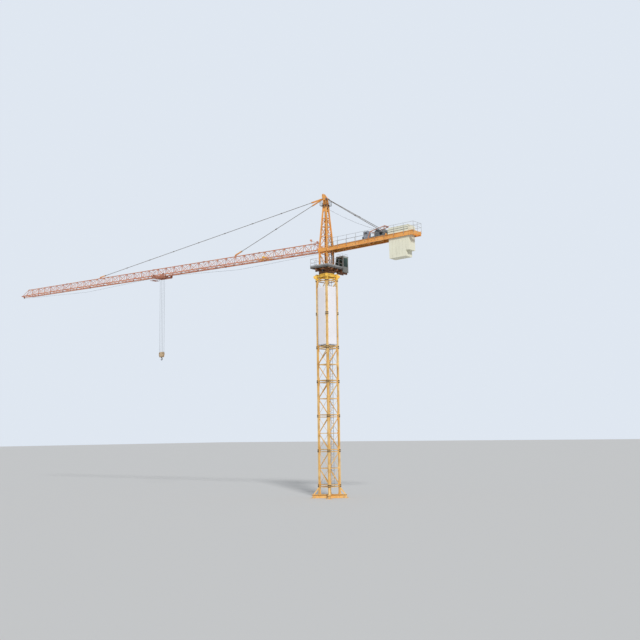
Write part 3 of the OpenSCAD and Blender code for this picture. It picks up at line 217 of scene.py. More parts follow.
def rope_piece(name, points, body=None):
    """A rope along the points, as a mesh tube."""
    curve = bpy.data.curves.new(name + "_line", "CURVE")
    curve.dimensions, curve.bevel_depth, curve.bevel_resolution, curve.use_fill_caps = "3D", ROPE_R, 2, True
    line = curve.splines.new("POLY")
    line.points.add(len(points) - 1)
    for knot, point in zip(line.points, points):
        knot.co = (*point, 1)
    bare = bpy.data.objects.new(name + "_line", curve)
    bpy.context.scene.collection.objects.link(bare)
    bpy.context.view_layer.update()
    data = bpy.data.meshes.new_from_object(bare.evaluated_get(bpy.context.evaluated_depsgraph_get()))
    bpy.data.objects.remove(bare)
    data.materials.clear()
    data.materials.append(finishes["wire_rope"])
    for face in data.polygons:
        face.use_smooth = True
    data.name = name
    piece = bpy.data.objects.new(name, data)
    bpy.context.scene.collection.objects.link(piece)
    if body:
        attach(piece, body)
    return piece


def hanging(p, q, sag, steps):
    """Points from p to q that sag by the given depth at their middle."""
    p, q = Vector(p), Vector(q)
    return [p.lerp(q, i / steps) - Vector((0, 0, 4 * sag * (i / steps) * (1 - i / steps))) for i in range(steps + 1)]


# Finishes

def noise(nodes, links, coords, scale, detail=4.0, stretch=(1, 1, 1)):
    """A noise on Object coordinates, stretched along the axes given."""
    mapping = nodes.new("ShaderNodeMapping")
    mapping.inputs["Scale"].default_value = stretch
    texture = nodes.new("ShaderNodeTexNoise")
    texture.inputs["Scale"].default_value = scale
    texture.inputs["Detail"].default_value = detail
    links.new(coords.outputs["Object"], mapping.inputs["Vector"])
    links.new(mapping.outputs["Vector"], texture.inputs["Vector"])
    return texture.outputs["Fac"]


def ramp(nodes, links, value, low, high):
    """Spreads the values from low to high over 0 to 1."""
    node = nodes.new("ShaderNodeMapRange")
    node.inputs["From Min"].default_value = low
    node.inputs["From Max"].default_value = high
    links.new(value, node.inputs["Value"])
    return node.outputs["Result"]


def mix(nodes, links, factor, a, b):
    """A colour between a and b, each a colour or a socket."""
    node = nodes.new("ShaderNodeMix")
    node.data_type = "RGBA"
    links.new(factor, node.inputs[0])
    for socket, colour in ((node.inputs[6], a), (node.inputs[7], b)):
        if isinstance(colour, bpy.types.NodeSocket):
            links.new(colour, socket)
        else:
            socket.default_value = (*colour, 1)
    return node.outputs[2]


def make_finish(name, colour, fade, stain, stain_low=0.60, roughness=0.5, metallic=0.0, patch=1.4, bump=0.1, grain=60,
                streak=(1, 1, 0.15), chips=0.0, dull=0.72):
    """A surface with broad fading, stains in streaks, grime in patches, chips, a fine grain and uneven gloss."""
    material = bpy.data.materials.new(name)
    material.use_nodes = True
    nodes, links = material.node_tree.nodes, material.node_tree.links
    shader = nodes["Principled BSDF"]
    coords = nodes.new("ShaderNodeTexCoord")
    broad = ramp(nodes, links, noise(nodes, links, coords, patch), 0.35, 0.68)
    streaks = noise(nodes, links, coords, 9.0, 10.0, streak)
    grime = ramp(nodes, links, noise(nodes, links, coords, 3.3, 12.0), 0.48, 0.78)
    fine = noise(nodes, links, coords, grain, 3.0)
    faded = mix(nodes, links, broad, colour, fade)
    dulled = mix(nodes, links, grime, faded, tuple(dull * c for c in colour))
    stained = mix(nodes, links, ramp(nodes, links, streaks, stain_low, stain_low + 0.16), dulled, stain)
    if chips:
        spots = ramp(nodes, links, noise(nodes, links, coords, 34.0, 6.0), 0.74 - chips, 0.76 - chips)
        stained = mix(nodes, links, spots, stained, tuple(0.85 * c for c in stain))
    links.new(stained, shader.inputs["Base Color"])
    gloss = nodes.new("ShaderNodeMapRange")
    gloss.inputs["To Min"].default_value = max(0.05, roughness - 0.15)
    gloss.inputs["To Max"].default_value = min(1.0, roughness + 0.22)
    links.new(grime, gloss.inputs["Value"])
    links.new(gloss.outputs["Result"], shader.inputs["Roughness"])
    shader.inputs["Metallic"].default_value = metallic
    bumps = nodes.new("ShaderNodeBump")
    bumps.inputs["Strength"].default_value = bump
    bumps.inputs["Distance"].default_value = 0.004
    links.new(fine, bumps.inputs["Height"])
    links.new(bumps.outputs["Normal"], shader.inputs["Normal"])
    finishes[name] = material
    return material


class CRANE_OT_finishes(bpy.types.Operator):
    """Makes the finishes and puts them on the frame's own nodes"""
    bl_idname = "crane.finishes"
    bl_label = "Finishes"

    def execute(self, context):
        paint = context.scene.crane_colours
        rust = (0.23, 0.10, 0.045)
        make_finish("mast_paint", tuple(paint.mast), (0.84, 0.58, 0.25), rust, 0.62, chips=0.055)
        make_finish("orange_paint", tuple(paint.head), (0.86, 0.44, 0.14), (0.42, 0.15, 0.04), 0.60, chips=0.055)
        make_finish("jib_paint", tuple(paint.jib), (0.70, 0.36, 0.22), (0.33, 0.12, 0.06), 0.57, chips=0.055)
        make_finish("chord_paint", (0.76, 0.36, 0.12), (0.80, 0.48, 0.22), rust, 0.64, chips=0.055)
        make_finish("trolley_paint", (0.40, 0.15, 0.09), (0.50, 0.22, 0.14), (0.20, 0.08, 0.05), 0.58, chips=0.055)
        make_finish("bright_yellow", tuple(paint.support), (0.90, 0.58, 0.12), rust, 0.68, chips=0.055)
        # Dark brown of the turntable and the girder bracket: reddish-brown paint with painted shade in it
        make_finish("brown_paint", tuple(paint.turntable), (0.33, 0.16, 0.08), (0.12, 0.05, 0.03), 0.58,
                    roughness=0.65, chips=0.045)
        make_finish("machine_grey", (0.13, 0.14, 0.15), (0.20, 0.21, 0.21), (0.05, 0.045, 0.04), 0.58)
        make_finish("cab_paint", tuple(paint.cab), (0.52, 0.51, 0.48), (0.25, 0.23, 0.20), 0.64,
                    roughness=0.4, chips=0.045)
        make_finish("cabinet_paint", (0.24, 0.27, 0.33), (0.32, 0.35, 0.40), (0.12, 0.11, 0.10), 0.6,
                    roughness=0.45, chips=0.05)
        make_finish("galvanised", (0.46, 0.46, 0.45), (0.56, 0.56, 0.55), (0.30, 0.26, 0.22), 0.62,
                    roughness=0.45, metallic=0.55, patch=9.0)
        make_finish("dark_steel", (0.075, 0.075, 0.08), (0.12, 0.115, 0.11), (0.16, 0.08, 0.045), 0.62,
                    roughness=0.45, metallic=0.6, patch=3.0)
        make_finish("tie_steel", (0.21, 0.19, 0.17), (0.30, 0.27, 0.23), (0.14, 0.08, 0.05), 0.6,
                    metallic=0.4, patch=2.0)
        make_finish("wire_rope", (0.10, 0.10, 0.11), (0.16, 0.16, 0.16), (0.05, 0.045, 0.04), 0.55,
                    metallic=0.7, patch=8.0, bump=0.5, grain=260)
        make_finish("banner", tuple(paint.banner), (0.80, 0.78, 0.80), (0.66, 0.62, 0.58), 0.68,
                    roughness=0.62, patch=0.9, bump=0.25, grain=22, streak=(1, 1, 0.3), dull=0.95)
        make_finish("concrete", tuple(paint.slab), (0.78, 0.76, 0.62), (0.50, 0.46, 0.36), 0.64,
                    roughness=0.85, patch=1.8, bump=0.5, grain=45, dull=0.88)
        make_finish("block_paint", tuple(paint.block), (0.60, 0.45, 0.28), (0.15, 0.09, 0.05), 0.56, chips=0.055)
        make_finish("lamp_lens", (0.80, 0.82, 0.80), (0.70, 0.72, 0.70), (0.5, 0.5, 0.5), 0.7, roughness=0.15)
        make_finish("seat_cloth", (0.035, 0.04, 0.05), (0.06, 0.06, 0.07), (0.10, 0.09, 0.08), 0.66,
                    roughness=0.9, patch=12.0, bump=0.4, grain=400)
        make_finish("black_rubber", (0.02, 0.02, 0.021), (0.04, 0.04, 0.04), (0.09, 0.08, 0.07), 0.66, roughness=0.75)
        self.make_grating()
        self.make_glass()
        for finish, nodes in NODE_FINISHES.items():
            for node in nodes:
                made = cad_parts[node]
                if not made.material_slots:
                    made.data.materials.append(finishes[finish])
                for slot in made.material_slots:
                    slot.material = finishes[finish]
        return {"FINISHED"}

    def make_grating(self):
        """Galvanised grating: crossing bars with near-black painted shade in the openings between them."""
        material = make_finish("grating", (0.17, 0.165, 0.16), (0.24, 0.23, 0.21), (0.12, 0.08, 0.05), 0.6,
                               roughness=0.6, metallic=0.5, patch=6.0)
        nodes, links = material.node_tree.nodes, material.node_tree.links
        shader = nodes["Principled BSDF"]
        coords = nodes.new("ShaderNodeTexCoord")
        bars = nodes.new("ShaderNodeTexBrick")
        bars.offset = 0.0
        for socket, value in (("Scale", 1.0), ("Mortar Size", 0.010), ("Brick Width", 0.05), ("Row Height", 0.025)):
            bars.inputs[socket].default_value = value
        links.new(coords.outputs["Object"], bars.inputs["Vector"])
        bare = shader.inputs["Base Color"].links[0].from_socket
        # Openings between the bars: near-black painted shade, where light would pass through
        links.new(mix(nodes, links, bars.outputs["Fac"], (0.025, 0.022, 0.02), bare), shader.inputs["Base Color"])
        bump = nodes.new("ShaderNodeBump")
        bump.inputs["Strength"].default_value = 0.7
        bump.inputs["Distance"].default_value = 0.01
        links.new(bars.outputs["Fac"], bump.inputs["Height"])
        links.new(bump.outputs["Normal"], shader.inputs["Normal"])

    def make_glass(self):
        """Dark green tinted panes with a little dust."""
        material = make_finish("glass", (0.06, 0.12, 0.10), (0.08, 0.14, 0.12), (0.25, 0.25, 0.22), 0.72,
                               roughness=0.1, patch=2.0, bump=0.02)
        shader = material.node_tree.nodes["Principled BSDF"]
        shader.inputs["Transmission Weight"].default_value = 0.35
        shader.inputs["IOR"].default_value = 1.45


# Pieces on the mast

class CRANE_OT_mast_trim(bpy.types.Operator):
    """Adds the mast's joint bolts, its thin counter-braces and the anchor nuts on its feet"""
    bl_idname = "crane.mast_trim"
    bl_label = "Mast trim"

    def execute(self, context):
        sizes = context.scene.crane_sizes
        bolts, braces, nuts = bmesh.new(), bmesh.new(), bmesh.new()
        legs = [(x, y) for x in (-1, 1) for y in (-1, 1)]
        bolt_rise, bolt_shift, sleeve_face = 0.045, 0.032, LEG_AT + SLEEVE_W / 2
        for k in range(SECTIONS + 1):
            joint = MAST_LOW + k * SECTION_H
            for x, y in legs:
                for across, rise in ((True, -bolt_rise), (True, bolt_rise), (False, -bolt_rise), (False, bolt_rise)):
                    if k == SECTIONS and rise > 0:
                        continue
                    for shift in (-bolt_shift, bolt_shift):
                        if across:
                            spot, axis = (x * LEG_AT + shift, y * sleeve_face, joint + rise), (0, y, 0)
                        else:
                            spot, axis = (x * sleeve_face, y * LEG_AT + shift, joint + rise), (x, 0, 0)
                        add_bolt(bolts, spot, axis, sizes.bolt_d, ON_MAST)
        bay = (SECTION_H - 2 * JOINT_INSET) / MAST_BAYS
        brace_y = -LEG_AT - 0.004
        for k in range(SECTIONS):
            for i in range(MAST_BAYS):
                low = MAST_LOW + k * SECTION_H + JOINT_INSET + i * bay
                flip = -1 if i % 2 == 0 else 1
                for a in range(4):
                    face = ON_MAST @ Matrix.Rotation(a * math.pi / 2, 4, "Z")
                    add_rod(braces, (flip * LEG_AT, brace_y, low), (-flip * LEG_AT, brace_y, low + bay),
                            sizes.counter_brace_d, 6, face)
            level = MAST_LOW + k * SECTION_H + JOINT_INSET + bay
            add_rod(braces, (-LEG_AT, -LEG_AT, level), (LEG_AT, LEG_AT, level), sizes.counter_brace_d, 6, ON_MAST)
        foot_at, bolt_at, foot_t, nut_d, anchor_d, anchor_l = 0.91, 0.125, 0.024, 0.032, 0.030, 0.06
        corners = [Matrix.Rotation(math.pi / 4 + a * math.pi / 2, 4, "Z") for a in range(4)]
        for corner in corners:
            foot = ON_MAST @ corner @ Matrix.Translation((foot_at, 0, 0))
            for turn in corners:
                spot = turn @ Vector((bolt_at, 0, foot_t))
                add_bolt(nuts, spot, (0, 0, 1), nut_d, foot)
                add_rod(nuts, spot, spot + Vector((0, 0, anchor_l)), anchor_d, 12, foot)
        finish_piece("mast_joint_bolts", bolts, "dark_steel", "mast")
        finish_piece("mast_counter_braces", braces, "mast_paint", "mast")
        finish_piece("anchor_nuts", nuts, "galvanised", "mast")
        return {"FINISHED"}


class CRANE_OT_banners(bpy.types.Operator):
    """Adds a plain rippled sheet on each banner board, with its eyelets and lashings"""
    bl_idname = "crane.banners"
    bl_label = "Banner sheets"

    def execute(self, context):
        ripple = context.scene.crane_sizes.ripple
        edge, board_t, clearance = 0.012, 0.008, 0.0003
        low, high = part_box("mast_banners")[0][2] + edge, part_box("mast_banners")[1][2] - edge
        half = LEG_AT - SLEEVE_W / 2 - edge
        board = LEG_AT + BAR_W / 2 + clearance + board_t
        width, height = 2 * half, high - low
        random.seed(7)
        for a in range(4):
            face = ON_MAST @ Matrix.Rotation(a * math.pi / 2, 4, "Z")
            waves = [(random.uniform(1.5, 4.0), random.uniform(0, 6.28), random.uniform(-0.6, 0.6)) for _ in range(4)]
            sheet = bmesh.new()
            bmesh.ops.create_grid(sheet, x_segments=12, y_segments=60, size=0.5)
            for v in sheet.verts:
                u, t = v.co.x, v.co.y + 0.5
                free = (1 - (2 * u) ** 4) * min(1.0, 6 * t, 6 * (1 - t))
                depth = sum(math.sin(w * 3.1 * t * 2 + p + s * 9 * u) for w, p, s in waves) / 4
                v.co = face @ Vector((u * width, -board - 0.0015 - ripple * free * (1 + depth), low + t * height))
            piece = finish_piece(f"banner_sheet_{a + 1}", sheet, "banner", "mast", smooth=True)
            thick = piece.modifiers.new("thickness", "SOLIDIFY")
            thick.thickness, thick.offset = 0.0012, 1.0
        eyelets = bmesh.new()
        holes, hole_edge, hole_side = 9, 0.05, half - 0.02
        for a in range(4):
            face = ON_MAST @ Matrix.Rotation(a * math.pi / 2, 4, "Z")
            for side in (-1, 1):
                for i in range(holes):
                    z = low + hole_edge + i * (height - 2 * hole_edge) / (holes - 1)
                    front = (side * hole_side, -board - 0.006, z)
                    add_rod(eyelets, (side * hole_side, -board - 0.001, z), front, 0.026, 10, face)
                    add_rod(eyelets, front, (side * (LEG_AT - 0.02), -LEG_AT - 0.050, z), 0.006, 5, face)
        finish_piece("banner_eyelets", eyelets, "galvanised", "mast")
        return {"FINISHED"}


class CRANE_OT_slewing_trim(bpy.types.Operator):
    """Adds the slewing ring's teeth, the turntable's bolts and the support's bolts"""
    bl_idname = "crane.slewing_trim"
    bl_label = "Slewing trim"

    def execute(self, context):
        teeth, bolts = bmesh.new(), bmesh.new()
        ring_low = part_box("slewing_ring")[0][2]
        count, ring_r, tooth_l, half_w = 108, 0.450, 0.014, 0.006
        for i in range(count):
            turn = Matrix.Rotation(i * math.tau / count, 4, "Z")
            add_box(teeth, (ring_r - 0.004, -half_w, ring_low + 0.004), (ring_r + tooth_l, half_w, ring_low + 0.036),
                    turn)
        plate_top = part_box("turntable")[0][2] + 0.04 + 0.036
        bolts_round, circle_r, frame_side = 36, 0.452, 0.34
        for i in range(bolts_round):
            turn = Matrix.Rotation((i + 0.5) * math.tau / bolts_round, 4, "Z")
            spot = turn @ Vector((circle_r, 0, 0))
            if abs(spot.x) > frame_side or abs(spot.y) > frame_side:
                add_bolt(bolts, (circle_r, 0, plate_top), (0, 0, 1), 0.016, turn)
        low, plate_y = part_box("slewing_support")[0][2], -LEG_AT - 0.040
        for a in range(4):
            face = ON_MAST @ Matrix.Rotation(a * math.pi / 2, 4, "Z")
            for x in (-0.30, -0.18, 0.18, 0.30):
                for z in (low + 0.19, low + 0.29):
                    add_bolt(bolts, (x, plate_y, z), (0, -1, 0), 0.020, face)
        finish_piece("slewing_teeth", teeth, "dark_steel", "mast")
        split = bolts.copy()
        bmesh.ops.delete(bolts, geom=[v for v in bolts.verts if v.co.z < ring_low], context="VERTS")
        bmesh.ops.delete(split, geom=[v for v in split.verts if v.co.z >= ring_low], context="VERTS")
        finish_piece("turntable_bolts", bolts, "dark_steel", "upper")
        finish_piece("support_bolts", split, "dark_steel", "mast")
        return {"FINISHED"}


# Pieces on the deck and the cab

class CRANE_OT_deck_trim(bpy.types.Operator):
    """Adds kick plates round the deck, the ladder up to the counter-jib and the lamps at the jib's foot"""
    bl_idname = "crane.deck_trim"
    bl_label = "Deck trim"

    def execute(self, context):
        kick_h = context.scene.crane_sizes.kick_h
        top, t = DECK_HIGH[2], 0.006
        x0, x1, y0, y1 = DECK_LOW[0], DECK_HIGH[0], DECK_LOW[1], DECK_HIGH[1]
        kicks = bmesh.new()
        add_box(kicks, (x0, y0, top), (x1, y0 + t, top + kick_h))
        add_box(kicks, (x0, y0, top), (x0 + t, y1, top + kick_h))
        add_box(kicks, (x1 - t, y0, top), (x1, CAB_LOW[1] - 0.02, top + kick_h))
        add_box(kicks, (x0, y1 - t, top), (CAB_LOW[0] - 0.02, y1, top + kick_h))
        finish_piece("deck_kick_plates", kicks, "galvanised", "upper")
        ladder = bmesh.new()
        x, z1 = 0.590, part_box("counter_jib_railing")[0][2] + 0.45
        y0, y1, rung_pitch, first_rung = -0.30, -0.10, 0.13, 0.08
        for y in (y0, y1):
            add_box(ladder, (x - 0.012, y - 0.006, top), (x + 0.012, y + 0.006, z1))
        for i in range(int((z1 - top) / rung_pitch)):
            level = top + first_rung + i * rung_pitch
            add_rod(ladder, (x, y0, level), (x, y1, level), 0.014)
        finish_piece("counter_jib_ladder", ladder, "dark_steel", "upper")
        lamps, lens = bmesh.new(), bmesh.new()
        lamp_s, post_d = 0.50, 0.024
        post_x = JIB_FOOT.x - lamp_s
        for y in (-JIB_HALF, JIB_HALF):
            foot = ON_JIB @ Vector((-lamp_s, y, 0.02))
            low, high = foot.z + 0.58, foot.z + 0.68
            add_rod(lamps, foot, foot + Vector((0, 0, 0.62)), post_d, 8)
            add_box(lamps, (post_x - 0.05, y - 0.06, low), (post_x + 0.03, y + 0.06, high), bevel=0.006)
            add_box(lens, (post_x - 0.058, y - 0.05, low + 0.01), (post_x - 0.05, y + 0.05, high - 0.01))
        level = (ON_JIB @ Vector((-lamp_s, 0, 0.60))).z
        add_rod(lamps, (post_x, -JIB_HALF, level), (post_x, JIB_HALF, level), post_d, 8)
        finish_piece("jib_foot_lamps", lamps, "jib_paint", "upper")
        finish_piece("jib_foot_lenses", lens, "lamp_lens", "upper")
        return {"FINISHED"}


class CRANE_OT_cab_fittings(bpy.types.Operator):
    """Adds the driver's chair and controls, window gaskets, handrails, wiper and roof rail"""
    bl_idname = "crane.cab_fittings"
    bl_label = "Cab fittings"

    def execute(self, context):
        cab_w, cab_h, wall, sill = 0.52, 0.96, 0.018, 0.012
        at = Matrix.Translation((CAB_LOW[0], CAB_LOW[1] + sill, CAB_LOW[2]))
        mid = cab_w / 2
        chair = bmesh.new()
        add_box(chair, (0.27, mid - 0.11, 0.22), (0.47, mid + 0.11, 0.275), at, 0.018)
        add_box(chair, (0.44, mid - 0.11, 0.26), (0.50, mid + 0.11, 0.56), at, 0.020)
        add_box(chair, (0.45, mid - 0.06, 0.57), (0.49, mid + 0.06, 0.65), at, 0.015)
        finish_piece("driver_chair", chair, "seat_cloth", "upper", smooth=True)
        controls = bmesh.new()
        add_rod(controls, (0.37, mid, wall), (0.37, mid, 0.225), 0.07, 16, at)
        for side in (-1, 1):
            y = mid + side * 0.145
            add_box(controls, (0.24, y - 0.035, 0.24), (0.46, y + 0.035, 0.34), at, 0.01)
            add_rod(controls, (0.28, y, 0.33), (0.27, y, 0.42), 0.014, 8, at)
            add_rod(controls, (0.27, y, 0.41), (0.268, y, 0.435), 0.032, 12, at)
            add_rod(controls, (0.40, y, 0.16), (0.40, mid, 0.16), 0.03, 8, at)
        finish_piece("driver_controls", controls, "machine_grey", "upper")
        rails = bmesh.new()
        rail_d, stay_d, z = 0.012, 0.010, 0.30
        for side, y in ((-1, -0.004), (1, cab_w + 0.004)):
            out = y + side * 0.03
            add_rod(rails, (0.12, out, z), (0.54, out, z), rail_d, 8, at)
            for x in (0.12, 0.33, 0.54):
                add_rod(rails, (x, y - side * 0.006, z), (x, out, z), stay_d, 8, at)
        y0, y1, roof, top = 0.03, cab_w - 0.03, cab_h + 0.02, cab_h + 0.16
        for y in (y0, y1):
            for x in (0.12, 0.34, 0.56):
                add_rod(rails, (x, y, roof), (x, y, top), rail_d, 8, at)
            add_rod(rails, (0.12, y, top), (0.56, y, top), rail_d, 8, at)
        for x in (0.12, 0.56):
            add_rod(rails, (x, y0, top), (x, y1, top), rail_d, 8, at)
        finish_piece("cab_rails", rails, "galvanised", "upper")
        seals = bmesh.new()
        windows = [[(0.14, 0.89), (0.06, 0.4512), (0.10, 0.3456), (0.29, 0.3456), (0.29, 0.89)],
                   [(0.33, 0.3456), (0.55, 0.3456), (0.55, 0.89), (0.33, 0.89)]]
        for y in (0.0, cab_w):
            for outline in windows:
                for (xa, za), (xb, zb) in zip(outline, outline[1:] + outline[:1]):
                    add_rod(seals, (xa, y, za), (xb, y, zb), 0.012, 6, at)
        add_rod(seals, (-0.012, mid, 0.46), (0.045, mid - 0.10, 0.80), 0.008, 6, at)
        finish_piece("cab_window_seals", seals, "black_rubber", "upper")
        return {"FINISHED"}


# Pieces on the jib and on the head

class CRANE_OT_jib_lacing(bpy.types.Operator):
    """Adds the jib's thin posts, the bolts of its joints, its rope rollers and its supply cable"""
    bl_idname = "crane.jib_lacing"
    bl_label = "Jib lacing"

    def execute(self, context):
        d = context.scene.crane_sizes.lacing_d
        pitch = (JIB_SECTION - 2 * JIB_INSET) / JIB_BAYS
        for k in range(JIB_SECTIONS):
            posts = bmesh.new()
            for i in range(JIB_BAYS + 1):
                s = k * JIB_SECTION + JIB_INSET + i * pitch
                if k == 0 and i == 0:
                    continue
                for side in (-1, 1):
                    add_rod(posts, (-s, side * JIB_HALF, 0), (-s, 0, JIB_H), d, 6, ON_JIB)
                    if i < JIB_BAYS:
                        mid = s + pitch / 2
                        add_rod(posts, (-mid, side * JIB_HALF, 0), (-mid, 0, JIB_H), d, 6, ON_JIB)
            finish_piece(f"jib_posts_{k + 1}", posts, "chord_paint" if k == 0 else "jib_paint", "upper")
        bolts = bmesh.new()
        top_face, low_face = 0.024, JIB_HALF + 0.028
        for k in range(1, JIB_SECTIONS):
            for shift in (-0.055, 0.055):
                x = -k * JIB_SECTION - shift
                for h in (-0.022, 0.022):
                    for side in (-1, 1):
                        add_bolt(bolts, (x, side * top_face, JIB_H + h), (0, side, 0), 0.014, ON_JIB)
                for side in (-1, 1):
                    for h in (-0.015, 0.015):
                        add_bolt(bolts, (x, side * low_face, h), (0, side, 0), 0.012, ON_JIB)
        finish_piece("jib_joint_bolts", bolts, "dark_steel", "upper")
        rollers, hangers = bmesh.new(), bmesh.new()
        for s in ROLLER_AT:
            for side in (-1, 1):
                y = side * 0.075
                add_box(hangers, (-s - 0.02, y - 0.006, -0.13), (-s + 0.02, y + 0.006, 0.0), ON_JIB)
            add_box(hangers, (-s - 0.02, -JIB_HALF, -0.012), (-s + 0.02, JIB_HALF, 0.012), ON_JIB)
            for half, d, sides in ((0.069, 0.05, 20), (0.090, 0.016, 10)):
                add_rod(rollers, (-s, -half, ROLLER_DROP), (-s, half, ROLLER_DROP), d, sides, ON_JIB)
        finish_piece("rope_roller_hangers", hangers, "jib_paint", "upper")
        finish_piece("rope_rollers", rollers, "dark_steel", "upper")
        along = [ON_JIB @ Vector((-i / 4, JIB_HALF - 0.02, 0.034 + 0.004 * (i % 3))) for i in range(1, 56)]
        cable = rope_piece("jib_supply_cable", along, "upper")
        cable.data.materials[0] = finishes["black_rubber"]
        return {"FINISHED"}


class CRANE_OT_head_trim(bpy.types.Operator):
    """Adds pin washers on the tower head and at the jib's foot, and the root frame's bolts"""
    bl_idname = "crane.head_trim"
    bl_label = "Head trim"

    def execute(self, context):
        pins, bolts = bmesh.new(), bmesh.new()
        head_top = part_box("tower_head")[1][2]
        for side in (-1, 1):
            for x, z, y in ((-0.150, 0.150, 0.089), (0.090, 0.100, 0.121)):
                add_rod(pins, (x, side * y, head_top + z), (x, side * (y + 0.010), head_top + z), 0.062, 16)
            add_rod(pins, (-0.170, side * 0.085, head_top + 0.36), (-0.170, side * 0.094, head_top + 0.36), 0.044, 12)
            for y in (JIB_HALF - 0.042, JIB_HALF + 0.042):
                low, high = side * y - 0.003, side * y + 0.003
                add_rod(pins, (JIB_FOOT.x, low, JIB_FOOT.z), (JIB_FOOT.x, high, JIB_FOOT.z), 0.060, 16)
        for side, x in ((-1, -0.350), (1, 0.338)):
            for y in (-0.22, -0.08, 0.08, 0.22):
                for z in (ROOT_LOW + 0.075, ROOT_LOW + 0.215):
                    add_bolt(bolts, (x, y, z), (side, 0, 0), 0.018)
        finish_piece("head_pin_washers", pins, "galvanised", "upper")
        finish_piece("root_frame_bolts", bolts, "dark_steel", "upper")
        return {"FINISHED"}


# Pieces on the counter-jib

class CRANE_OT_counter_trim(bpy.types.Operator):
    """Adds the counterweights' eyes and tie bars, the winch's fins and cabinets, bolts and a bracket"""
    bl_idname = "crane.counter_trim"
    bl_label = "Counter-jib trim"

    def execute(self, context):
        eyes, bars = bmesh.new(), bmesh.new()
        for i in range(SLABS):
            s = SLAB_START + i * SLAB_STEP + SLAB_T / 2
            for side in (-1, 1):
                add_ring(eyes, (s, side * 0.20, SLAB_TOP), 0.035, 0.008, 0, 180, 10, ON_COUNTER)
        bar_start, bar_end, bar_up = SLAB_START - 0.05, SLAB_START + SLABS * SLAB_STEP + 0.04, 0.12
        for side in (-1, 1):
            y = side * SLAB_SIDE
            add_rod(bars, (bar_start, y, bar_up), (bar_end, y, bar_up), 0.016, 8, ON_COUNTER)
        finish_piece("slab_lifting_eyes", eyes, "dark_steel", "upper", smooth=True)
        finish_piece("slab_tie_bars", bars, "dark_steel", "upper")
        fins = bmesh.new()
        for i in range(15):
            y = -0.10 + i * 0.022
            add_rod(fins, (GEAR_S, y + 0.06, GEAR_UP), (GEAR_S, y + 0.068, GEAR_UP), 0.196, 28, ON_COUNTER)
        add_rod(fins, (GEAR_S, 0.29, GEAR_UP), (GEAR_S, 0.315, GEAR_UP), 0.15, 24, ON_COUNTER)
        add_box(fins, (GEAR_S - 0.05, 0.02, 0.33), (GEAR_S + 0.05, 0.14, 0.39), ON_COUNTER, 0.008)
        finish_piece("winch_motor_fins", fins, "machine_grey", "upper")
        bolts = bmesh.new()
        for side in (-1, 1):
            for x, h in ((-0.16, 0.10), (0.16, 0.10), (-0.07, 0.33), (0.07, 0.33)):
                add_bolt(bolts, (DRUM_S + x, side * 0.243, h), (0, side, 0), 0.014, ON_COUNTER)
        for s in range(8):
            for side in (-1, 1):
                add_bolt(bolts, (0.5 + s * 0.45, side * 0.370, -0.145), (0, side, 0), 0.014, ON_COUNTER)
        finish_piece("counter_jib_bolts", bolts, "dark_steel", "upper")
        flange = bmesh.new()
        for i in range(8):
            turn = Matrix.Rotation(i * math.tau / 8, 4, "Y")
            axle = ON_COUNTER @ Matrix.Translation((DRUM_S, 0, DRUM_UP)) @ turn
            for side in (-1, 1):
                add_bolt(flange, (0.155, side * 0.216, 0), (0, side, 0), 0.012, axle)
        finish_piece("drum_flange_bolts", flange, "galvanised", "drum")
        cabinets, doors = bmesh.new(), bmesh.new()
        floor_h, deep, eave = -GIRDER_H + CROSS_UP + CROSS_H + GRATING_T, 0.30, 0.012
        for s, wide, tall, y in ((2.58, 0.32, 0.50, -0.26), (2.30, 0.20, 0.30, 0.02)):
            end, back, roof, mid = s + wide, y + deep, floor_h + tall, s + wide / 2
            add_box(cabinets, (s, y, floor_h + 0.03), (end, back, roof), ON_COUNTER, 0.008)
            add_box(cabinets, (s - eave, y - eave, roof), (end + eave, back + eave, roof + 0.014), ON_COUNTER)
            for x in (s + 0.02, end - 0.05):
                add_box(cabinets, (x, y + 0.02, floor_h), (x + 0.03, back - 0.02, floor_h + 0.04), ON_COUNTER)
            for i in range(5):
                h = roof - 0.06 - i * 0.022
                add_box(doors, (s + 0.04, y - 0.006, h), (end - 0.04, y + 0.002, h + 0.012), ON_COUNTER)
            add_box(doors, (mid - 0.006, y - 0.012, floor_h + 0.10), (mid + 0.006, y, floor_h + 0.17), ON_COUNTER)
        finish_piece("winch_cabinets", cabinets, "cabinet_paint", "upper")
        finish_piece("cabinet_louvres", doors, "dark_steel", "upper")
        # The bracket under the girder takes the dark brown with painted shade, as it hangs in the girder's shade
        bracket = bmesh.new()
        y, low, d = -GIRDER_Y, -GIRDER_H - 0.16, 0.022
        for s in (1.20, 1.75):
            add_rod(bracket, (s, y, -GIRDER_H), (s, y, low), d, 8, ON_COUNTER)
        add_rod(bracket, (1.12, y, low), (1.83, y, low), d, 8, ON_COUNTER)
        finish_piece("girder_bracket", bracket, "brown_paint", "upper")
        return {"FINISHED"}


# Ropes, trolley and hook

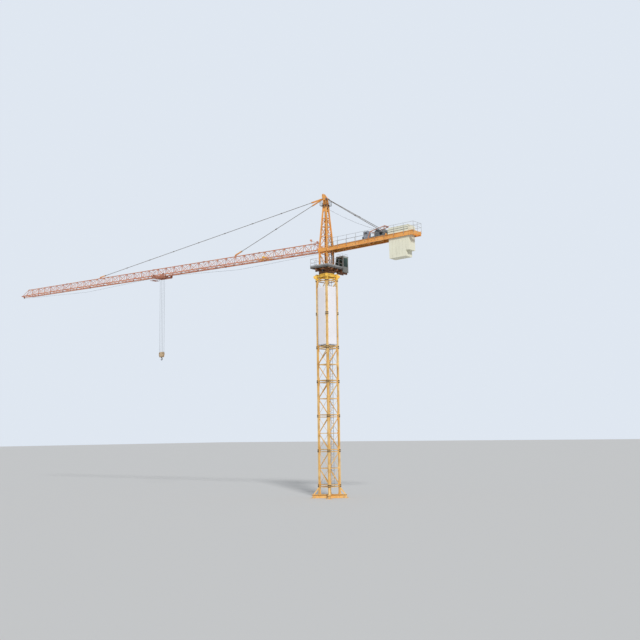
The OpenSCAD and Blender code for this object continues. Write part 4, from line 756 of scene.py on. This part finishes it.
class CRANE_OT_ropes(bpy.types.Operator):
    """Makes the ropes along the jib and down to the hook block, and their turns on the sheaves"""
    bl_idname = "crane.ropes"
    bl_label = "Ropes"

    def execute(self, context):
        outer = BLOCK_PITCH / 2 + 2 * SHEAVE_R

        def on_sheave(centre, radius, angle):
            a = math.radians(angle)
            return centre + radius * Vector((math.cos(a), 0, math.sin(a)))

        inner_centre = ON_JIB @ Vector((-TROLLEY_S + outer, 0, SHEAVE_DROP))
        outer_centre = ON_JIB @ Vector((-TROLLEY_S - outer, 0, SHEAVE_DROP))
        # Rings only at the ends and halfway
        inner = hanging(on_sheave(ROOT_SHEAVE, END_SHEAVE_R, -86), on_sheave(inner_centre, SHEAVE_R, 84), ROPE_SAG, 2)
        outward = hanging(on_sheave(outer_centre, SHEAVE_R, 93), on_sheave(TIP_SHEAVE, END_SHEAVE_R, -95), ROPE_SAG, 2)
        inner_rope = rope_piece("inner_jib_rope", inner)
        outer_rope = rope_piece("outer_jib_rope", outward)
        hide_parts("jib_rope_inner")
        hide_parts("jib_rope_outer")
        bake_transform(inner_rope)
        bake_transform(outer_rope)
        top = SHEAVE_LINE.z - 0.004
        for i in range(4):
            place = SHEAVE_LINE.x + (i - 1.5) * BLOCK_PITCH / 2
            fall = rope_piece(f"rope_fall_{i + 1}", [(place, 0, top), (place, 0, BLOCK_Z)])
            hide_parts("rope_falls")
            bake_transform(fall)
        turns = bmesh.new()
        for x, start, end in ((outer, 84, 180), (0.0, 0, 180), (-outer, 0, 93)):
            centre = ON_JIB @ Vector((-TROLLEY_S + x, 0, SHEAVE_DROP))
            add_ring(turns, centre, SHEAVE_R, ROPE_R, start, end, 18)
        finish_piece("trolley_rope_turns", turns, "wire_rope", "trolley", smooth=True)
        under = bmesh.new()
        for side in (-1, 1):
            add_ring(under, (SHEAVE_LINE.x + side * BLOCK_PITCH / 2, 0, BLOCK_Z), SHEAVE_R, ROPE_R, 180, 360, 20)
        finish_piece("block_rope_turns", under, "wire_rope", "block", smooth=True)
        return {"FINISHED"}


class CRANE_OT_trolley_trim(bpy.types.Operator):
    """Adds the trolley's service basket, its bolts and the hook block's pins and latch"""
    bl_idname = "crane.trolley_trim"
    bl_label = "Trolley and hook trim"

    def execute(self, context):
        basket = bmesh.new()
        x0, x1, y1, z0, z1 = -TROLLEY_L / 2 - 0.36, -TROLLEY_L / 2 + 0.02, 0.26, -0.30, -0.055
        for x in (x0, (x0 + x1) / 2, x1):
            for y in (-y1, y1):
                add_rod(basket, (x, y, z0), (x, y, z1), 0.014, 8, ON_TROLLEY)
        for z in (z0, (z0 + z1) / 2, z1):
            for y in (-y1, y1):
                add_rod(basket, (x0, y, z), (x1, y, z), 0.014, 8, ON_TROLLEY)
            for x in (x0, x1):
                add_rod(basket, (x, -y1, z), (x, y1, z), 0.014, 8, ON_TROLLEY)
        for i in range(14):
            y = -y1 + (i + 0.5) * 2 * y1 / 14
            add_rod(basket, (x0, y, z0), (x1, y, z0), 0.008, 4, ON_TROLLEY)
        for y in (-y1, y1):
            add_rod(basket, (x1, y, -0.19), (x1 + 0.10, y, -0.19), 0.022, 8, ON_TROLLEY)
        finish_piece("trolley_basket", basket, "trolley_paint", "trolley")
        bolts = bmesh.new()
        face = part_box("trolley_frame")[1][1]
        for side in (-1, 1):
            for x in (-0.49, 0.49):
                add_bolt(bolts, (x, side * face, 0.0225), (0, side, 0), 0.026, ON_TROLLEY)
            for x in (-0.51, -0.30, 0.0, 0.30, 0.51):
                add_bolt(bolts, (x, side * face, -0.185), (0, side, 0), 0.016, ON_TROLLEY)
        finish_piece("trolley_bolts", bolts, "dark_steel", "trolley")
        pins = bmesh.new()
        for side in (-1, 1):
            for x in (-BLOCK_PITCH / 2, BLOCK_PITCH / 2):
                add_rod(pins, (x, side * 0.060, 0), (x, side * 0.067, 0), 0.050, 16, ON_BLOCK)
            for x in (-0.16, 0.16, -0.06, 0.06):
                add_bolt(pins, (x, side * 0.052, -0.235), (0, side, 0), 0.016, ON_BLOCK)
        finish_piece("block_pins", pins, "dark_steel", "block")
        latch = bmesh.new()
        throat, wire_d = Vector((0, 0, -0.406)), 0.012
        hinge = throat + Vector((-0.018, 0, 0.062))
        add_rod(latch, hinge, throat + Vector((-0.062, 0, -0.006)), wire_d, 8, ON_BLOCK)
        add_rod(latch, hinge - Vector((0, 0.020, 0)), hinge + Vector((0, 0.020, 0)), wire_d, 8, ON_BLOCK)
        finish_piece("hook_latch", latch, "galvanised", "hook")
        return {"FINISHED"}


# Stage

class CRANE_OT_stage(bpy.types.Operator):
    """Adds the floor, the pale surroundings, the lamp and the camera"""
    bl_idname = "crane.stage"
    bl_label = "Stage"

    def execute(self, context):
        scene = context.scene
        floor = bmesh.new()
        bmesh.ops.create_grid(floor, x_segments=1, y_segments=1, size=400)
        bmesh.ops.translate(floor, verts=floor.verts, vec=(0, 0, -0.002))
        data = bpy.data.meshes.new("floor")
        floor.to_mesh(data)
        floor.free()
        pale = bpy.data.materials.new("pale_floor")
        pale.use_nodes = True
        shader = pale.node_tree.nodes["Principled BSDF"]
        shader.inputs["Base Color"].default_value = (0.62, 0.62, 0.61, 1)
        shader.inputs["Roughness"].default_value = 0.9
        data.materials.append(pale)
        ground = bpy.data.objects.new("floor", data)
        scene.collection.objects.link(ground)

        world = bpy.data.worlds.new("pale_surroundings")
        scene.world = world
        world.use_nodes = True
        nodes, links = world.node_tree.nodes, world.node_tree.links
        lit = nodes["Background"]
        lit.inputs["Color"].default_value = (0.80, 0.84, 0.90, 1)
        lit.inputs["Strength"].default_value = 0.50
        seen = nodes.new("ShaderNodeBackground")
        seen.inputs["Color"].default_value = (0.74, 0.80, 0.88, 1)
        path, choose = nodes.new("ShaderNodeLightPath"), nodes.new("ShaderNodeMixShader")
        links.new(path.outputs["Is Camera Ray"], choose.inputs["Fac"])
        links.new(lit.outputs["Background"], choose.inputs[1])
        links.new(seen.outputs["Background"], choose.inputs[2])
        links.new(choose.outputs["Shader"], nodes["World Output"].inputs["Surface"])
        lamp = bpy.data.lights.new("key", "SUN")
        lamp.energy, lamp.angle = 2.6, math.radians(9)
        key = bpy.data.objects.new("key", lamp)
        key.rotation_euler = (math.radians(54), 0, math.radians(48))
        scene.collection.objects.link(key)

        view = bpy.data.cameras.new("camera")
        view.lens, view.sensor_width, view.clip_end = 50, 36, 2000
        camera = bpy.data.objects.new("camera", view)
        azimuth, pitch, roll = (math.radians(degrees) for degrees in (38.16, 90 + 7.42, -0.73))
        camera.matrix_world = (Matrix.Translation((31.85, -41.23, 3.56)) @ Matrix.Rotation(azimuth, 4, "Z")
                               @ Matrix.Rotation(pitch, 4, "X") @ Matrix.Rotation(roll, 4, "Z"))
        scene.collection.objects.link(camera)
        scene.camera = camera
        scene.view_settings.view_transform = "Standard"
        return {"FINISHED"}


class CRANE_PT_panel(bpy.types.Panel):
    """Lists the crane's operators"""
    bl_idname = "CRANE_PT_panel"
    bl_label = "Tower crane"
    bl_space_type = "VIEW_3D"
    bl_region_type = "UI"
    bl_category = "Crane"

    def draw(self, context):
        for step in STEPS:
            self.layout.operator(step.bl_idname)
        for group in (context.scene.crane_colours, context.scene.crane_sizes):
            for name in group.__annotations__:
                self.layout.prop(group, name)


STEPS = (CRANE_OT_finishes, CRANE_OT_stage, CRANE_OT_mast_trim, CRANE_OT_banners, CRANE_OT_slewing_trim,
         CRANE_OT_deck_trim, CRANE_OT_cab_fittings, CRANE_OT_jib_lacing, CRANE_OT_head_trim, CRANE_OT_counter_trim,
         CRANE_OT_ropes, CRANE_OT_trolley_trim)
CLASSES = (CraneColours, CraneSizes, CRANE_PT_panel) + STEPS


def register():
    for made in CLASSES:
        bpy.utils.register_class(made)
    bpy.types.Scene.crane_colours = bpy.props.PointerProperty(type=CraneColours)
    bpy.types.Scene.crane_sizes = bpy.props.PointerProperty(type=CraneSizes)


def unregister():
    del bpy.types.Scene.crane_colours
    del bpy.types.Scene.crane_sizes
    for made in reversed(CLASSES):
        bpy.utils.unregister_class(made)


def main():
    register()
    for step in STEPS:
        group, name = step.bl_idname.split(".")
        getattr(getattr(bpy.ops, group), name)()


if __name__ == "__main__":
    main()
